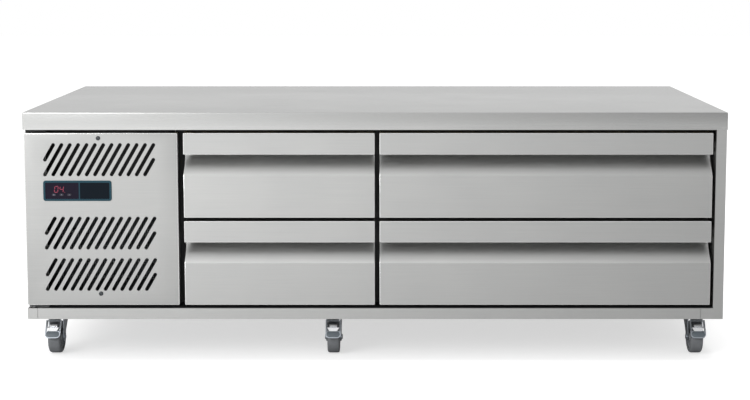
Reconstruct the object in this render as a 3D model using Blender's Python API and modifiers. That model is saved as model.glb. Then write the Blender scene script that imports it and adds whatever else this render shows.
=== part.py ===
"""Refrigerated chef base: a low counter with four drawers beside a condensing unit, on six castors.

The origin is on the floor under the middle of the worktop. +X is to the user's right, -Y faces the
user and +Z is up. Every length is in metres.
"""

import math
from dataclasses import dataclass

import bmesh
import bpy
from mathutils import Matrix, Vector

# Fits and sheets that the pieces share
TOUCH_GAP = 0.0003
CUT_OVERRUN = 0.002
SINK = 0.0006
WELD = 0.00001
BODY_SHEET = 0.0012
LINER_SHEET = 0.0010
WORKTOP_SHEET = 0.0015
DRAWER_SHEET = 0.0015

# Gastronorm pans, which set the size of every drawer
PAN_WIDTH = 0.325
PAN_LENGTH = 0.530
PAN_CLEARANCE = 0.0015
LEFT_PANS = 1
RIGHT_PANS = 2

# Drawer fronts, with a lip to pull on over a scoop for the fingers
FRONT_OVER_PANS = 0.114
FRONT_HEIGHT = 0.1965
FRONT_DEPTH = 0.050
FRONT_GAP = 0.0075
FRONT_EDGE_RADIUS = 0.0012
FRONT_SKIN = 0.0015
FILL_HOLE_RADIUS = 0.006
FILL_HOLE_SIDE = 0.040
FILL_HOLE_HEIGHT = 0.030
LIP_HEIGHT = 0.050
LIP_THICKNESS = 0.007
SCOOP_HEIGHT = 0.048
SCOOP_WALL_HEIGHT = 0.010
SCOOP_DEPTH = 0.032
POCKET_RISE = 0.026

# Widths along the front, from left to right
COVER_WIDTH = 0.353
COVER_GAP = 0.0122
MULLION_GAP = 0.0104
STILE_GAP = 0.0070
STILE_WIDTH = 0.0244
LEFT_FRONT_WIDTH = LEFT_PANS * PAN_WIDTH + FRONT_OVER_PANS
RIGHT_FRONT_WIDTH = RIGHT_PANS * PAN_WIDTH + FRONT_OVER_PANS
WIDTH = (
    COVER_WIDTH + COVER_GAP + LEFT_FRONT_WIDTH + MULLION_GAP
    + RIGHT_FRONT_WIDTH + STILE_GAP + STILE_WIDTH
)
SIDE_INSET = 0.001
LEFT_X = -WIDTH / 2
SKIN_X = WIDTH / 2 - SIDE_INSET
COVER_RIGHT_X = LEFT_X + COVER_WIDTH
LEFT_FRONT_X = COVER_RIGHT_X + COVER_GAP
RIGHT_FRONT_X = LEFT_FRONT_X + LEFT_FRONT_WIDTH + MULLION_GAP
RIGHT_FRONT_END_X = RIGHT_FRONT_X + RIGHT_FRONT_WIDTH
STILE_X = RIGHT_FRONT_END_X + STILE_GAP

# Heights, from the floor up
CASTOR_HEIGHT = 0.099
BASE_RAIL_HEIGHT = 0.0255
WORKTOP_HEIGHT = 0.040
RAIL_TOP_Z = CASTOR_HEIGHT + BASE_RAIL_HEIGHT
LOWER_FRONT_Z = RAIL_TOP_Z + FRONT_GAP
UPPER_FRONT_Z = LOWER_FRONT_Z + FRONT_HEIGHT + FRONT_GAP
WORKTOP_Z = UPPER_FRONT_Z + FRONT_HEIGHT + FRONT_GAP
HEIGHT = WORKTOP_Z + WORKTOP_HEIGHT
BODY_TOP_Z = WORKTOP_Z - TOUCH_GAP

# Depths, from the front back
FACE_INSET = 0.003
REAR_INSET = 0.001
GASKET_THICKNESS = 0.008
SEAL_FRAME_DEPTH = 0.020
REAR_AIR_GAP = 0.0569
WALL_FOAM = 0.050
DRAWER_FRAME_LENGTH = PAN_LENGTH + 2 * PAN_CLEARANCE + 2 * DRAWER_SHEET
DEPTH = (
    FACE_INSET + FRONT_DEPTH + TOUCH_GAP + DRAWER_FRAME_LENGTH + REAR_AIR_GAP
    + LINER_SHEET + TOUCH_GAP + WALL_FOAM + TOUCH_GAP + BODY_SHEET + REAR_INSET
)
FACE_Y = -DEPTH / 2 + FACE_INSET
REAR_Y = DEPTH / 2 - REAR_INSET
FRONT_BACK_Y = FACE_Y + FRONT_DEPTH
DRAWER_FRAME_Y = FRONT_BACK_Y + TOUCH_GAP
DRAWER_FRAME_END_Y = DRAWER_FRAME_Y + DRAWER_FRAME_LENGTH
SEAL_Y = FRONT_BACK_Y + GASKET_THICKNESS + 2 * TOUCH_GAP
CHAMBER_FRONT_Y = SEAL_Y + SEAL_FRAME_DEPTH + TOUCH_GAP
CHAMBER_BACK_Y = DRAWER_FRAME_END_Y + REAR_AIR_GAP

# Insulated chamber, which each drawer front laps all round
SEAL_LAP = 0.025
MID_RAIL_LAP = 0.0155
GASKET_INSET = 0.004
GASKET_WIDTH = 0.011
PARTITION_FOAM = 0.048
CHAMBER_X = LEFT_FRONT_X + SEAL_LAP
CHAMBER_END_X = RIGHT_FRONT_END_X - SEAL_LAP
CHAMBER_Z = LOWER_FRONT_Z + SEAL_LAP
CHAMBER_TOP_Z = UPPER_FRONT_Z + FRONT_HEIGHT - SEAL_LAP
PARTITION_SKIN_X = CHAMBER_X - LINER_SHEET - TOUCH_GAP - PARTITION_FOAM - TOUCH_GAP - BODY_SHEET
WORKTOP_FLANGE = 0.015
WORKTOP_EDGE_RADIUS = 0.001
SHELL_FLOOR_Z = RAIL_TOP_Z + TOUCH_GAP
FOAM_FLOOR_Z = SHELL_FLOOR_Z + BODY_SHEET + TOUCH_GAP

# Base frame, side feet and the seams between them
SEAM = 0.001
BASE_RAIL_DEPTH = 0.045
BASE_SHEET = 0.002
CROSS_MEMBER_WIDTH = 0.070
LEFT_FOOT_WIDTH = 0.0237
RIGHT_FOOT_WIDTH = 0.052
LEFT_FLANGE_WIDTH = 0.047

# Telescopic slides, as distances from the wall of the bay that carries them
UPRIGHT_THICKNESS = 0.003
UPRIGHT_WIDTH = 0.030
UPRIGHT_INSET = 0.035
SLIDE_SHEET = 0.0018
SLIDE_CLEARANCE = 0.0005
SLIDE_HEIGHT = 0.050
SLIDE_DEPTH = 0.014
SLIDE_TOP_GAP = 0.009
SLIDE_END_GAP = 0.002
FIXED_WEB = TOUCH_GAP + UPRIGHT_THICKNESS
MIDDLE_WEB = FIXED_WEB + SLIDE_SHEET + SLIDE_CLEARANCE
INNER_WEB = MIDDLE_WEB + SLIDE_SHEET + SLIDE_CLEARANCE
MIDDLE_HALF_HEIGHT = SLIDE_HEIGHT / 2 - SLIDE_SHEET - SLIDE_CLEARANCE
INNER_HALF_HEIGHT = MIDDLE_HALF_HEIGHT - SLIDE_SHEET - SLIDE_CLEARANCE
PAN_EDGE = (FRONT_OVER_PANS - 2 * SEAL_LAP) / 2 - PAN_CLEARANCE
PAN_LEDGE = 0.008
PAN_UPSTAND = 0.006
INNER_FLANGE = 0.012
CROSS_BAR_HEIGHT = 0.032
DIVIDER_HEIGHT = 0.012

# Compressor cover and its three groups of slanted slots
COVER_DEPTH = 0.018
SLOT_WIDTH = 0.0078
SLOT_PITCH = 0.0191
SLOT_SLANT = math.radians(60)
COVER_HEIGHT = 2 * FRONT_HEIGHT + FRONT_GAP
SLOT_ROW_SHARE = 0.0683 / 0.4005
SLOT_ROW_HEIGHT = SLOT_ROW_SHARE * COVER_HEIGHT
SLOT_ROUND_STEPS = 3
SLOTS_IN_ROW = 12
SLOT_ROW_LEFT = 0.0485
SLOT_ROW_BOTTOM_SHARES = (0.3048 / 0.4005, 0.1346 / 0.4005, 0.0377 / 0.4005)
SCREW_HOLE_RADIUS = 0.0040
UPPER_SCREW_SHARE = 0.0120 / 0.4005
LOWER_SCREW_SHARE = 0.0270 / 0.4005
SCREW_SIDE = 0.1716

# Controller in the cover
BEZEL_WIDTH = 0.1566
BEZEL_HEIGHT = 0.0470
BEZEL_THICKNESS = 0.0022
BEZEL_CORNER_RADIUS = 0.0045
BEZEL_LEFT = 0.0440
BEZEL_TOP_GAP = 0.0102
BEZEL_BOTTOM = (
    SLOT_ROW_BOTTOM_SHARES[0] * COVER_HEIGHT - SLOT_WIDTH / 2 - BEZEL_TOP_GAP - BEZEL_HEIGHT
)
HOUSING_MARGIN = 0.0050
HOUSING_DEPTH = 0.050
HOUSING_CLEARANCE = 0.0005
KEY_WIDTH = 0.0085
KEY_HEIGHT = 0.0050
KEY_THICKNESS = 0.0030
KEY_TRAVEL = 0.0008
KEY_PROUD = 0.0004
KEY_CLEARANCE = 0.0004
KEY_PITCH = 0.0176
FIRST_KEY_X = 0.0244
KEY_Z = 0.0145

# Machine room behind the cover
TRAY_SHEET = 0.0015
TRAY_HEIGHT = 0.012
TRAY_SIDE_GAP = 0.003
TRAY_FRONT_GAP = 0.003
TRAY_REAR_GAP = 0.008
COIL_FRONT_GAP = 0.022
COIL_DEPTH = 0.040
COIL_HEIGHT = 0.290
COIL_SIDE_GAP = 0.005
COIL_END_PLATE = 0.008
FIN_COUNT = 22
FIN_GROOVE_SHARE = 0.55
FIN_GROOVE_DEPTH = 0.012
SHROUD_SHEET = 0.002
SHROUD_MARGIN = 0.019
SHROUD_OPENING_RADIUS = COIL_HEIGHT / 2 - SHROUD_MARGIN
FAN_TIP_CLEARANCE = 0.008
FAN_RADIUS = SHROUD_OPENING_RADIUS - FAN_TIP_CLEARANCE
FAN_HUB_RADIUS = 0.028
FAN_HUB_LENGTH = 0.024
FAN_BLADES = 5
FAN_PITCH = math.radians(28)
FAN_CHORD = 0.078
BLADE_THICKNESS = 0.0024
BLADE_OUTLINE_SHARES = ((-0.32, 0), (0.32, 0), (0.50, 0.5), (0.40, 1.0), (-0.22, 0.97), (-0.50, 0.5))
FAN_PLATE_GAP = 0.022
SHAFT_RADIUS = 0.004
SHAFT_CLEARANCE = 0.0005
MOTOR_GAP = 0.012
MOTOR_RADIUS = 0.038
MOTOR_LENGTH = 0.045
MOTOR_BAR_HEIGHT = 0.030
MOTOR_BAR_SHEET = 0.004
COMPRESSOR_HEIGHT = 0.190
COMPRESSOR_FOOT_HEIGHT = 0.016
COMPRESSOR_FOOT_SHEET = 0.003
COMPRESSOR_REAR_GAP = 0.050
COMPRESSOR_PROFILE_SHARES = (
    (0.45, 1.0), (0.80, 0.95), (0.96, 0.84), (1.0, 0.60), (1.0, 0.34), (0.94, 0.12), (0.72, 0.0)
)
TURNED_STEPS = 24

# Rear grille and power inlet
GRILLE_SLOT_HEIGHT = 0.007
GRILLE_SLOT_PITCH = 0.018
GRILLE_SLOT_COUNT = 12
GRILLE_SLOT_SIDE = 0.050
GRILLE_SLOT_TOP_GAP = 0.050
INLET_WIDTH = 0.032
INLET_HEIGHT = 0.026
INLET_DEPTH = 0.020
INLET_WALL = 0.003
INLET_X = 0.060
INLET_Z = 0.045

# Evaporator, in an insulated box on the partition's machine side
EVAPORATOR_DEPTH = 0.125
EVAPORATOR_WALL = 0.025
EVAPORATOR_WIDTH = 0.200
EVAPORATOR_REAR_GAP = 0.010
EVAPORATOR_END_GAP = 0.045
EVAPORATOR_COIL_INSET = 0.008
EVAPORATOR_COIL_DEPTH = 0.038
EVAPORATOR_COIL_SIDE_GAP = 0.006
EVAPORATOR_FINS = 12
EVAPORATOR_FIN_GROOVE = 0.010
EVAPORATOR_FAN_RADIUS = 0.056
EVAPORATOR_HUB_RADIUS = 0.016
EVAPORATOR_HUB_LENGTH = 0.014
EVAPORATOR_FAN_CHORD = 0.034
EVAPORATOR_OPENING_RADIUS = 0.060
EVAPORATOR_PLATE_GAP = 0.020
EVAPORATOR_MOTOR_RADIUS = 0.024
STRAP_HEIGHT = 0.010

# Compressor feet, in what the evaporator box leaves of the machine room's width
ROOM_WIDTH = PARTITION_SKIN_X - LEFT_X - SIDE_INSET - BODY_SHEET
COMPRESSOR_LEFT_GAP = 0.0135
COMPRESSOR_RIGHT_GAP = 0.0334
COMPRESSOR_FOOT_WIDTH = (
    ROOM_WIDTH - TOUCH_GAP - EVAPORATOR_DEPTH - COMPRESSOR_RIGHT_GAP - COMPRESSOR_LEFT_GAP
)
COMPRESSOR_SHELL_SHARE = 0.078 / 0.165
COMPRESSOR_RADIUS = COMPRESSOR_SHELL_SHARE * COMPRESSOR_FOOT_WIDTH

# Suction line between the compressor and the evaporator box
LINE_RADIUS = 0.0048
LINE_BEND_RADIUS = 0.032
LINE_BEND_STEPS = 4
LINE_TOP_GAP = 0.0075
LINE_TOP_Z = CHAMBER_TOP_Z - EVAPORATOR_END_GAP - LINE_TOP_GAP

# Castors
CASTOR_SIDE_INSET = 0.0495
MIDDLE_CASTOR_X = -0.099
CASTOR_SWIVEL_INSET = 0.112
CASTOR_TRAIL = 0.030
PLATE_WIDTH = 0.066
PLATE_DEPTH = 0.060
PLATE_THICKNESS = 0.003
WHEEL_RADIUS = 0.0375
TYRE_HALF_WIDTH = 0.0145
TREAD_HALF_WIDTH = 0.0105
TYRE_SHOULDER = 0.0030
WHEEL_RIM_RADIUS = 0.0260
WHEEL_WEB_HALF_WIDTH = 0.0110
WHEEL_HUB_RADIUS = 0.0120
WHEEL_HUB_HALF_WIDTH = 0.0148
WHEEL_STEPS = 20
AXLE_RADIUS = 0.0040
AXLE_CLEARANCE = 0.0005
AXLE_NUT_RADIUS = 0.0065
AXLE_NUT_THICKNESS = 0.003
FORK_SHEET = 0.0025
FORK_CLEARANCE = 0.0010
FORK_CROWN_Z = 0.0845
FORK_CROWN_FRONT = 0.012
FORK_CROWN_BACK = 0.022
FORK_LEG_FRONT = 0.036
FORK_LEG_END_RADIUS = 0.010
SWIVEL_HEAD_RADIUS = 0.018
SWIVEL_NECK_RADIUS = 0.015
PEDAL_PIN_RADIUS = 0.0025
PEDAL_PIN_FORWARD = 0.0245
PEDAL_PIN_Z = 0.0838
PEDAL_EYE_RADIUS = 0.0048
PEDAL_EYE_CLEARANCE = 0.0004
PEDAL_SHEET = 0.003
PEDAL_ARM_HALF_WIDTH = 0.0135
PEDAL_HALF_WIDTH = 0.0180
PEDAL_KNEE_FORWARD = 0.058
PEDAL_KNEE_Z = 0.0845
PEDAL_TIP_FORWARD = 0.082
PEDAL_TIP_Z = 0.047
PEDAL_CORNER = 0.008
ROUND_SIDES = 12

LEFT, RIGHT = -1, 1


@dataclass(frozen=True)
class Finish:
    """One surface finish, by its look."""

    name: str
    colour: tuple
    roughness: float
    metallic: float


STAINLESS = Finish("stainless_steel", (0.58, 0.58, 0.57), 0.34, 1.0)
GALVANISED = Finish("galvanised_steel", (0.48, 0.50, 0.51), 0.45, 1.0)
ZINC = Finish("zinc_plate", (0.62, 0.64, 0.66), 0.28, 1.0)
FOAM = Finish("polyurethane_foam", (0.74, 0.66, 0.45), 0.95, 0.0)
FOAM_MOULDING = Finish("black_foam_moulding", (0.03, 0.03, 0.032), 0.85, 0.0)
BLACK_PLASTIC = Finish("black_plastic", (0.015, 0.015, 0.016), 0.55, 0.0)
GREY_RUBBER = Finish("grey_rubber", (0.13, 0.13, 0.135), 0.75, 0.0)
BLACK_RUBBER = Finish("black_rubber", (0.02, 0.02, 0.02), 0.80, 0.0)
TEAL_PLASTIC = Finish("teal_plastic", (0.012, 0.055, 0.085), 0.30, 0.0)
BLACK_ENAMEL = Finish("black_enamel", (0.018, 0.018, 0.018), 0.42, 0.0)
ALUMINIUM = Finish("aluminium_fins", (0.70, 0.71, 0.72), 0.40, 1.0)
COPPER = Finish("copper_tube", (0.72, 0.38, 0.24), 0.32, 1.0)


@dataclass(frozen=True)
class Bay:
    """One drawer's place: the outline of its front, and the opening in the seal frame that it closes."""

    name: str
    front_x: float
    front_width: float
    front_z: float
    open_z: float
    open_top_z: float
    pans: int

    @property
    def front_end_x(self):
        return self.front_x + self.front_width

    @property
    def open_x(self):
        return self.front_x + SEAL_LAP

    @property
    def open_end_x(self):
        return self.front_end_x - SEAL_LAP

    @property
    def slide_z(self):
        return self.open_top_z - SLIDE_TOP_GAP - SLIDE_HEIGHT / 2

    def wall(self, side):
        """The wall on one side, and the direction from it into the bay."""
        return (self.open_x, 1) if side == LEFT else (self.open_end_x, -1)


def all_bays():
    rows = (
        ("lower", LOWER_FRONT_Z, CHAMBER_Z, LOWER_FRONT_Z + FRONT_HEIGHT - MID_RAIL_LAP),
        ("upper", UPPER_FRONT_Z, UPPER_FRONT_Z + MID_RAIL_LAP, CHAMBER_TOP_Z),
    )
    columns = (
        ("left", LEFT_FRONT_X, LEFT_FRONT_WIDTH, LEFT_PANS),
        ("right", RIGHT_FRONT_X, RIGHT_FRONT_WIDTH, RIGHT_PANS),
    )
    return [
        Bay(f"{row}_{column}", x, width, z, low, high, pans)
        for row, z, low, high in rows
        for column, x, width, pans in columns
    ]


# Shapes


def clear_scene():
    for old in list(bpy.data.objects):
        bpy.data.objects.remove(old, do_unlink=True)


def collection(name):
    made = bpy.data.collections.new(name)
    bpy.context.scene.collection.children.link(made)
    return made


def add(name, mesh, tool=False):
    """Puts a mesh in the scene as a piece, or as a tool that shapes a piece and isn't drawn."""
    body = bpy.data.objects.new(name, mesh)
    bpy.data.collections["cutters" if tool else "chef_base"].objects.link(body)
    if tool:
        body.hide_render = True
        body.display_type = "WIRE"
    return body


def mesh_from(shape, name):
    bmesh.ops.recalc_face_normals(shape, faces=shape.faces)
    mesh = bpy.data.meshes.new(name)
    shape.to_mesh(mesh)
    shape.free()
    return mesh


def cube_between(low, high):
    low, high = Vector(low), Vector(high)
    shape = bmesh.new()
    bmesh.ops.create_cube(shape, size=1)
    bmesh.ops.scale(shape, vec=high - low, verts=shape.verts)
    bmesh.ops.translate(shape, vec=(low + high) / 2, verts=shape.verts)
    return shape


def box(name, low, high, tool=False):
    return add(name, mesh_from(cube_between(low, high), name), tool)


def open_box(name, low, high, wall, open_sides, tool=False):
    """A folded sheet box whose outside is low to high, without the sides whose outward axes are given."""
    shape = cube_between(low, high)
    shape.normal_update()
    gone = [
        face for face in shape.faces
        if any(face.normal.dot(Vector(side)) > math.cos(math.pi / 4) for side in open_sides)
    ]
    bmesh.ops.delete(shape, geom=gone, context="FACES")
    mesh = bpy.data.meshes.new(name)
    shape.to_mesh(mesh)
    shape.free()
    body = add(name, mesh, tool)
    sheet = body.modifiers.new("sheet", "SOLIDIFY")
    sheet.thickness = wall
    sheet.offset = -1
    sheet.use_even_offset = True
    return body


def axis_matrix(axis):
    """Turns a drawing, whose own Z is its depth, so that its depth runs along a world axis."""
    columns = {
        "X": ((0, 1, 0), (0, 0, 1), (1, 0, 0)),
        "Y": ((1, 0, 0), (0, 0, 1), (0, -1, 0)),
        "Z": ((1, 0, 0), (0, 1, 0), (0, 0, 1)),
    }
    return Matrix(columns[axis]).transposed().to_4x4()


def extrusion(name, outlines, axis, start, end, tool=False):
    """Closed outlines pulled along an axis. They are (y, z) across X, (x, z) across Y and (x, y) across Z."""
    drawing = bpy.data.curves.new(name, "CURVE")
    drawing.dimensions = "2D"
    drawing.fill_mode = "BOTH"
    drawing.extrude = (end - start) / 2
    for outline in outlines:
        spline = drawing.splines.new("POLY")
        spline.points.add(len(outline) - 1)
        for point, (u, v) in zip(spline.points, outline):
            point.co = (u, v, 0, 1)
        spline.use_cyclic_u = True
    holder = bpy.data.objects.new(name, drawing)
    bpy.context.scene.collection.objects.link(holder)
    flat = bpy.data.meshes.new_from_object(holder.evaluated_get(bpy.context.evaluated_depsgraph_get()))
    bpy.data.objects.remove(holder)
    middle = Vector([(start + end) / 2 if letter == axis else 0 for letter in "XYZ"])
    shape = bmesh.new()
    shape.from_mesh(flat)
    bmesh.ops.remove_doubles(shape, verts=shape.verts, dist=WELD)
    bmesh.ops.transform(shape, matrix=Matrix.Translation(middle) @ axis_matrix(axis), verts=shape.verts)
    return add(name, mesh_from(shape, name), tool)


def cylinder(name, axis, centre, radius, length, sides=ROUND_SIDES, tool=False):
    shape = bmesh.new()
    bmesh.ops.create_cone(
        shape, cap_ends=True, segments=sides, radius1=radius, radius2=radius, depth=length,
        matrix=Matrix.Translation(centre) @ axis_matrix(axis),
    )
    mesh = mesh_from(shape, name)
    mesh.shade_smooth()
    mesh.set_sharp_from_angle(angle=math.radians(35))
    return add(name, mesh, tool)


def turned(name, profile, axis, centre, closed, steps=TURNED_STEPS, tool=False):
    """A turned piece: (radius, height) points down its outer side, closed where it has a bore."""
    count = len(profile)
    mesh = bpy.data.meshes.new(name)
    edges = [(i, (i + 1) % count) for i in range(count if closed else count - 1)]
    mesh.from_pydata([(radius, 0, height) for radius, height in profile], edges, [])
    body = add(name, mesh, tool)
    body.matrix_world = Matrix.Translation(centre) @ axis_matrix(axis)
    lathe = body.modifiers.new("lathe", "SCREW")
    lathe.steps = lathe.render_steps = steps
    lathe.use_merge_vertices = True
    lathe.merge_threshold = WELD
    return body


def combine(body, other, operation, solver="EXACT"):
    step = body.modifiers.new(other.name, "BOOLEAN")
    step.operation = operation
    step.solver = solver
    step.object = other


def join(body, *others):
    for other in others:
        combine(body, other, "UNION")


def cut(body, *others):
    for other in others:
        combine(body, other, "DIFFERENCE")


def round_edges(body, radius, segments=1):
    edge = body.modifiers.new("edges", "BEVEL")
    edge.width = radius
    edge.segments = segments
    edge.limit_method = "ANGLE"
    edge.angle_limit = math.radians(40)


def set_origin(body, point):
    """Moves a piece's origin to a point, with its shape where it was."""
    shift = Matrix.Translation(-Vector(point))
    body.data.transform(shift)
    body.matrix_world = Matrix.Translation(point)


def pivot(name, point):
    """An empty on a joint's axis, which carries the pieces of one moving body."""
    empty = bpy.data.objects.new(name, None)
    bpy.data.collections["chef_base"].objects.link(empty)
    empty.location = point
    return empty


def carry(empty, *pieces):
    bpy.context.view_layer.update()
    for piece in pieces:
        place = piece.matrix_world.copy()
        piece.parent = empty
        piece.matrix_world = place


def dress(body, finish):
    material = bpy.data.materials.new(f"{body.name}_{finish.name}")
    material.use_nodes = True
    surface = material.node_tree.nodes["Principled BSDF"]
    surface.inputs["Base Color"].default_value = (*finish.colour, 1)
    surface.inputs["Roughness"].default_value = finish.roughness
    surface.inputs["Metallic"].default_value = finish.metallic
    body.data.materials.clear()
    body.data.materials.append(material)
    return body


def arc(centre, radius, first, last, steps):
    """Points of an arc, in radians, with both ends."""
    turn = (last - first) / steps
    return [
        (centre[0] + radius * math.cos(first + i * turn), centre[1] + radius * math.sin(first + i * turn))
        for i in range(steps + 1)
    ]


def rectangle(low, high):
    return [low, (high[0], low[1]), high, (low[0], high[1])]


def rounded_rectangle(low, high, radius, steps=3):
    right = math.pi / 2
    corners = (
        ((high[0] - radius, high[1] - radius), 0),
        ((low[0] + radius, high[1] - radius), right),
        ((low[0] + radius, low[1] + radius), 2 * right),
        ((high[0] - radius, low[1] + radius), 3 * right),
    )
    return [point for centre, first in corners for point in arc(centre, radius, first, first + right, steps)]


# Cabinet


def make_worktop():
    worktop = open_box(
        "worktop", (LEFT_X, -DEPTH / 2, WORKTOP_Z), (-LEFT_X, DEPTH / 2, HEIGHT), WORKTOP_SHEET, [(0, 0, -1)]
    )
    round_edges(worktop, WORKTOP_EDGE_RADIUS, 2)
    outer = (-LEFT_X - WORKTOP_SHEET / 2, DEPTH / 2 - WORKTOP_SHEET / 2)
    inner = (outer[0] - WORKTOP_FLANGE, outer[1] - WORKTOP_FLANGE)
    outlines = [rectangle((-x, -y), (x, y)) for x, y in (outer, inner)]
    flange = extrusion("worktop_flange", outlines, "Z", WORKTOP_Z, WORKTOP_Z + WORKTOP_SHEET, tool=True)
    join(worktop, flange)
    dress(worktop, STAINLESS)


def evaporator_place():
    """The middle of the evaporator box in Y and Z, with its half width and half height inside its walls."""
    y = CHAMBER_BACK_Y - EVAPORATOR_REAR_GAP - EVAPORATOR_WIDTH / 2
    z = (CHAMBER_Z + CHAMBER_TOP_Z) / 2
    half_width = EVAPORATOR_WIDTH / 2 - EVAPORATOR_WALL
    half_height = (CHAMBER_TOP_Z - CHAMBER_Z) / 2 - EVAPORATOR_END_GAP - EVAPORATOR_WALL
    return y, z, half_width, half_height


def partition_opening(name):
    y, z, half_width, half_height = evaporator_place()
    return box(
        name,
        (PARTITION_SKIN_X - CUT_OVERRUN, y - half_width, z - half_height),
        (CHAMBER_X + CUT_OVERRUN, y + half_width, z + half_height),
        tool=True,
    )


def make_outer_shell():
    shell = open_box(
        "outer_shell", (PARTITION_SKIN_X, SEAL_Y, SHELL_FLOOR_Z), (SKIN_X, REAR_Y, BODY_TOP_Z),
        BODY_SHEET, [(0, -1, 0), (0, 0, 1)],
    )
    stile = box(
        "stile", (STILE_X, FACE_Y, SHELL_FLOOR_Z), (SKIN_X, CHAMBER_FRONT_Y, BODY_TOP_Z), tool=True
    )
    stile_face = box(
        "stile_face",
        (STILE_X, FACE_Y, CASTOR_HEIGHT),
        (SKIN_X, FACE_Y + BODY_SHEET, BODY_TOP_Z),
        tool=True,
    )
    foot = box(
        "right_foot",
        (-LEFT_X - RIGHT_FOOT_WIDTH, FACE_Y, CASTOR_HEIGHT),
        (SKIN_X, FACE_Y + BODY_SHEET, RAIL_TOP_Z),
        tool=True,
    )
    skirt = box(
        "right_skirt",
        (SKIN_X - BODY_SHEET, FACE_Y, CASTOR_HEIGHT),
        (SKIN_X, REAR_Y, SHELL_FLOOR_Z + SINK),
        tool=True,
    )
    join(shell, stile, stile_face, foot, skirt)
    cut(shell, partition_opening("shell_opening"))
    dress(shell, STAINLESS)


def make_insulation():
    foam_x = PARTITION_SKIN_X + BODY_SHEET + TOUCH_GAP
    foam_end = (SKIN_X - BODY_SHEET - TOUCH_GAP, REAR_Y - BODY_SHEET - TOUCH_GAP)
    foam = box(
        "insulation", (foam_x, CHAMBER_FRONT_Y, FOAM_FLOOR_Z), (*foam_end, BODY_TOP_Z - TOUCH_GAP)
    )
    rim = WORKTOP_SHEET + WORKTOP_FLANGE + TOUCH_GAP
    slab_end = (-LEFT_X - rim, DEPTH / 2 - rim)
    slab = box(
        "worktop_foam",
        (foam_x, -slab_end[1], WORKTOP_Z),
        (*slab_end, HEIGHT - WORKTOP_SHEET - TOUCH_GAP),
        tool=True,
    )
    neck = box(
        "worktop_foam_neck",
        (foam_x, CHAMBER_FRONT_Y, BODY_TOP_Z - TOUCH_GAP - SINK),
        (*slab_end, WORKTOP_Z + SINK),
        tool=True,
    )
    margin = LINER_SHEET + TOUCH_GAP
    chamber = box(
        "chamber",
        (CHAMBER_X - margin, CHAMBER_FRONT_Y - CUT_OVERRUN, CHAMBER_Z - margin),
        (CHAMBER_END_X + margin, CHAMBER_BACK_Y + margin, CHAMBER_TOP_Z + margin),
        tool=True,
    )
    join(foam, neck, slab)
    cut(foam, chamber, partition_opening("foam_opening"))
    dress(foam, FOAM)


def make_liner():
    liner = open_box(
        "inner_liner",
        (CHAMBER_X - LINER_SHEET, CHAMBER_FRONT_Y, CHAMBER_Z - LINER_SHEET),
        (CHAMBER_END_X + LINER_SHEET, CHAMBER_BACK_Y + LINER_SHEET, CHAMBER_TOP_Z + LINER_SHEET),
        LINER_SHEET, [(0, -1, 0)],
    )
    cut(liner, partition_opening("liner_opening"))
    dress(liner, STAINLESS)


def make_seal_frame(bays):
    # The shell's left wall and floor reach as far forward as the frame, so the frame starts inside them.
    frame = box(
        "seal_frame",
        (PARTITION_SKIN_X + BODY_SHEET + TOUCH_GAP, SEAL_Y, FOAM_FLOOR_Z),
        (STILE_X - TOUCH_GAP, SEAL_Y + SEAL_FRAME_DEPTH, BODY_TOP_Z - TOUCH_GAP),
    )
    for bay in bays:
        cut(frame, box(
            f"{bay.name}_opening",
            (bay.open_x, SEAL_Y - CUT_OVERRUN, bay.open_z),
            (bay.open_end_x, SEAL_Y + SEAL_FRAME_DEPTH + CUT_OVERRUN, bay.open_top_z),
            tool=True,
        ))
    dress(frame, BLACK_PLASTIC)


def castor_columns():
    return (
        ("left", LEFT_X + CASTOR_SIDE_INSET),
        ("middle", MIDDLE_CASTOR_X),
        ("right", -LEFT_X - CASTOR_SIDE_INSET),
    )


def castor_places():
    """Each castor's name, the X and Y of its swivel, and whether it has a brake."""
    reach = DEPTH / 2 - CASTOR_SWIVEL_INSET
    rows = (("front", -reach, True), ("rear", reach, False))
    return [
        (f"{row}_{column}", x, y, brake)
        for row, y, brake in rows
        for column, x in castor_columns()
    ]


def make_base_frame():
    left = LEFT_X + LEFT_FOOT_WIDTH + SEAM
    right = -LEFT_X - RIGHT_FOOT_WIDTH - SEAM
    frame = open_box(
        "base_frame", (left, FACE_Y, CASTOR_HEIGHT), (right, FACE_Y + BASE_RAIL_DEPTH, RAIL_TOP_Z),
        BASE_SHEET, [(0, 1, 0)],
    )
    rear_rail = open_box(
        "rear_rail", (left, -FACE_Y - BASE_RAIL_DEPTH, CASTOR_HEIGHT), (right, -FACE_Y, RAIL_TOP_Z),
        BASE_SHEET, [(0, -1, 0)], tool=True,
    )
    join(frame, rear_rail)
    reach = -FACE_Y - BODY_SHEET - SEAM
    half = CROSS_MEMBER_WIDTH / 2
    for column, x in castor_columns():
        member = open_box(
            f"{column}_cross_member", (x - half, -reach, CASTOR_HEIGHT), (x + half, reach, RAIL_TOP_Z),
            BASE_SHEET, [(0, 0, 1)], tool=True,
        )
        join(frame, member)
    for name, x, y, _ in castor_places():
        join(frame, box(
            f"{name}_castor_plate",
            (x - PLATE_WIDTH / 2, y - PLATE_DEPTH / 2, CASTOR_HEIGHT - PLATE_THICKNESS),
            (x + PLATE_WIDTH / 2, y + PLATE_DEPTH / 2, CASTOR_HEIGHT + SINK),
            tool=True,
        ))
    dress(frame, STAINLESS)


def cover_back_y():
    return FACE_Y + COVER_DEPTH + TOUCH_GAP


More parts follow.
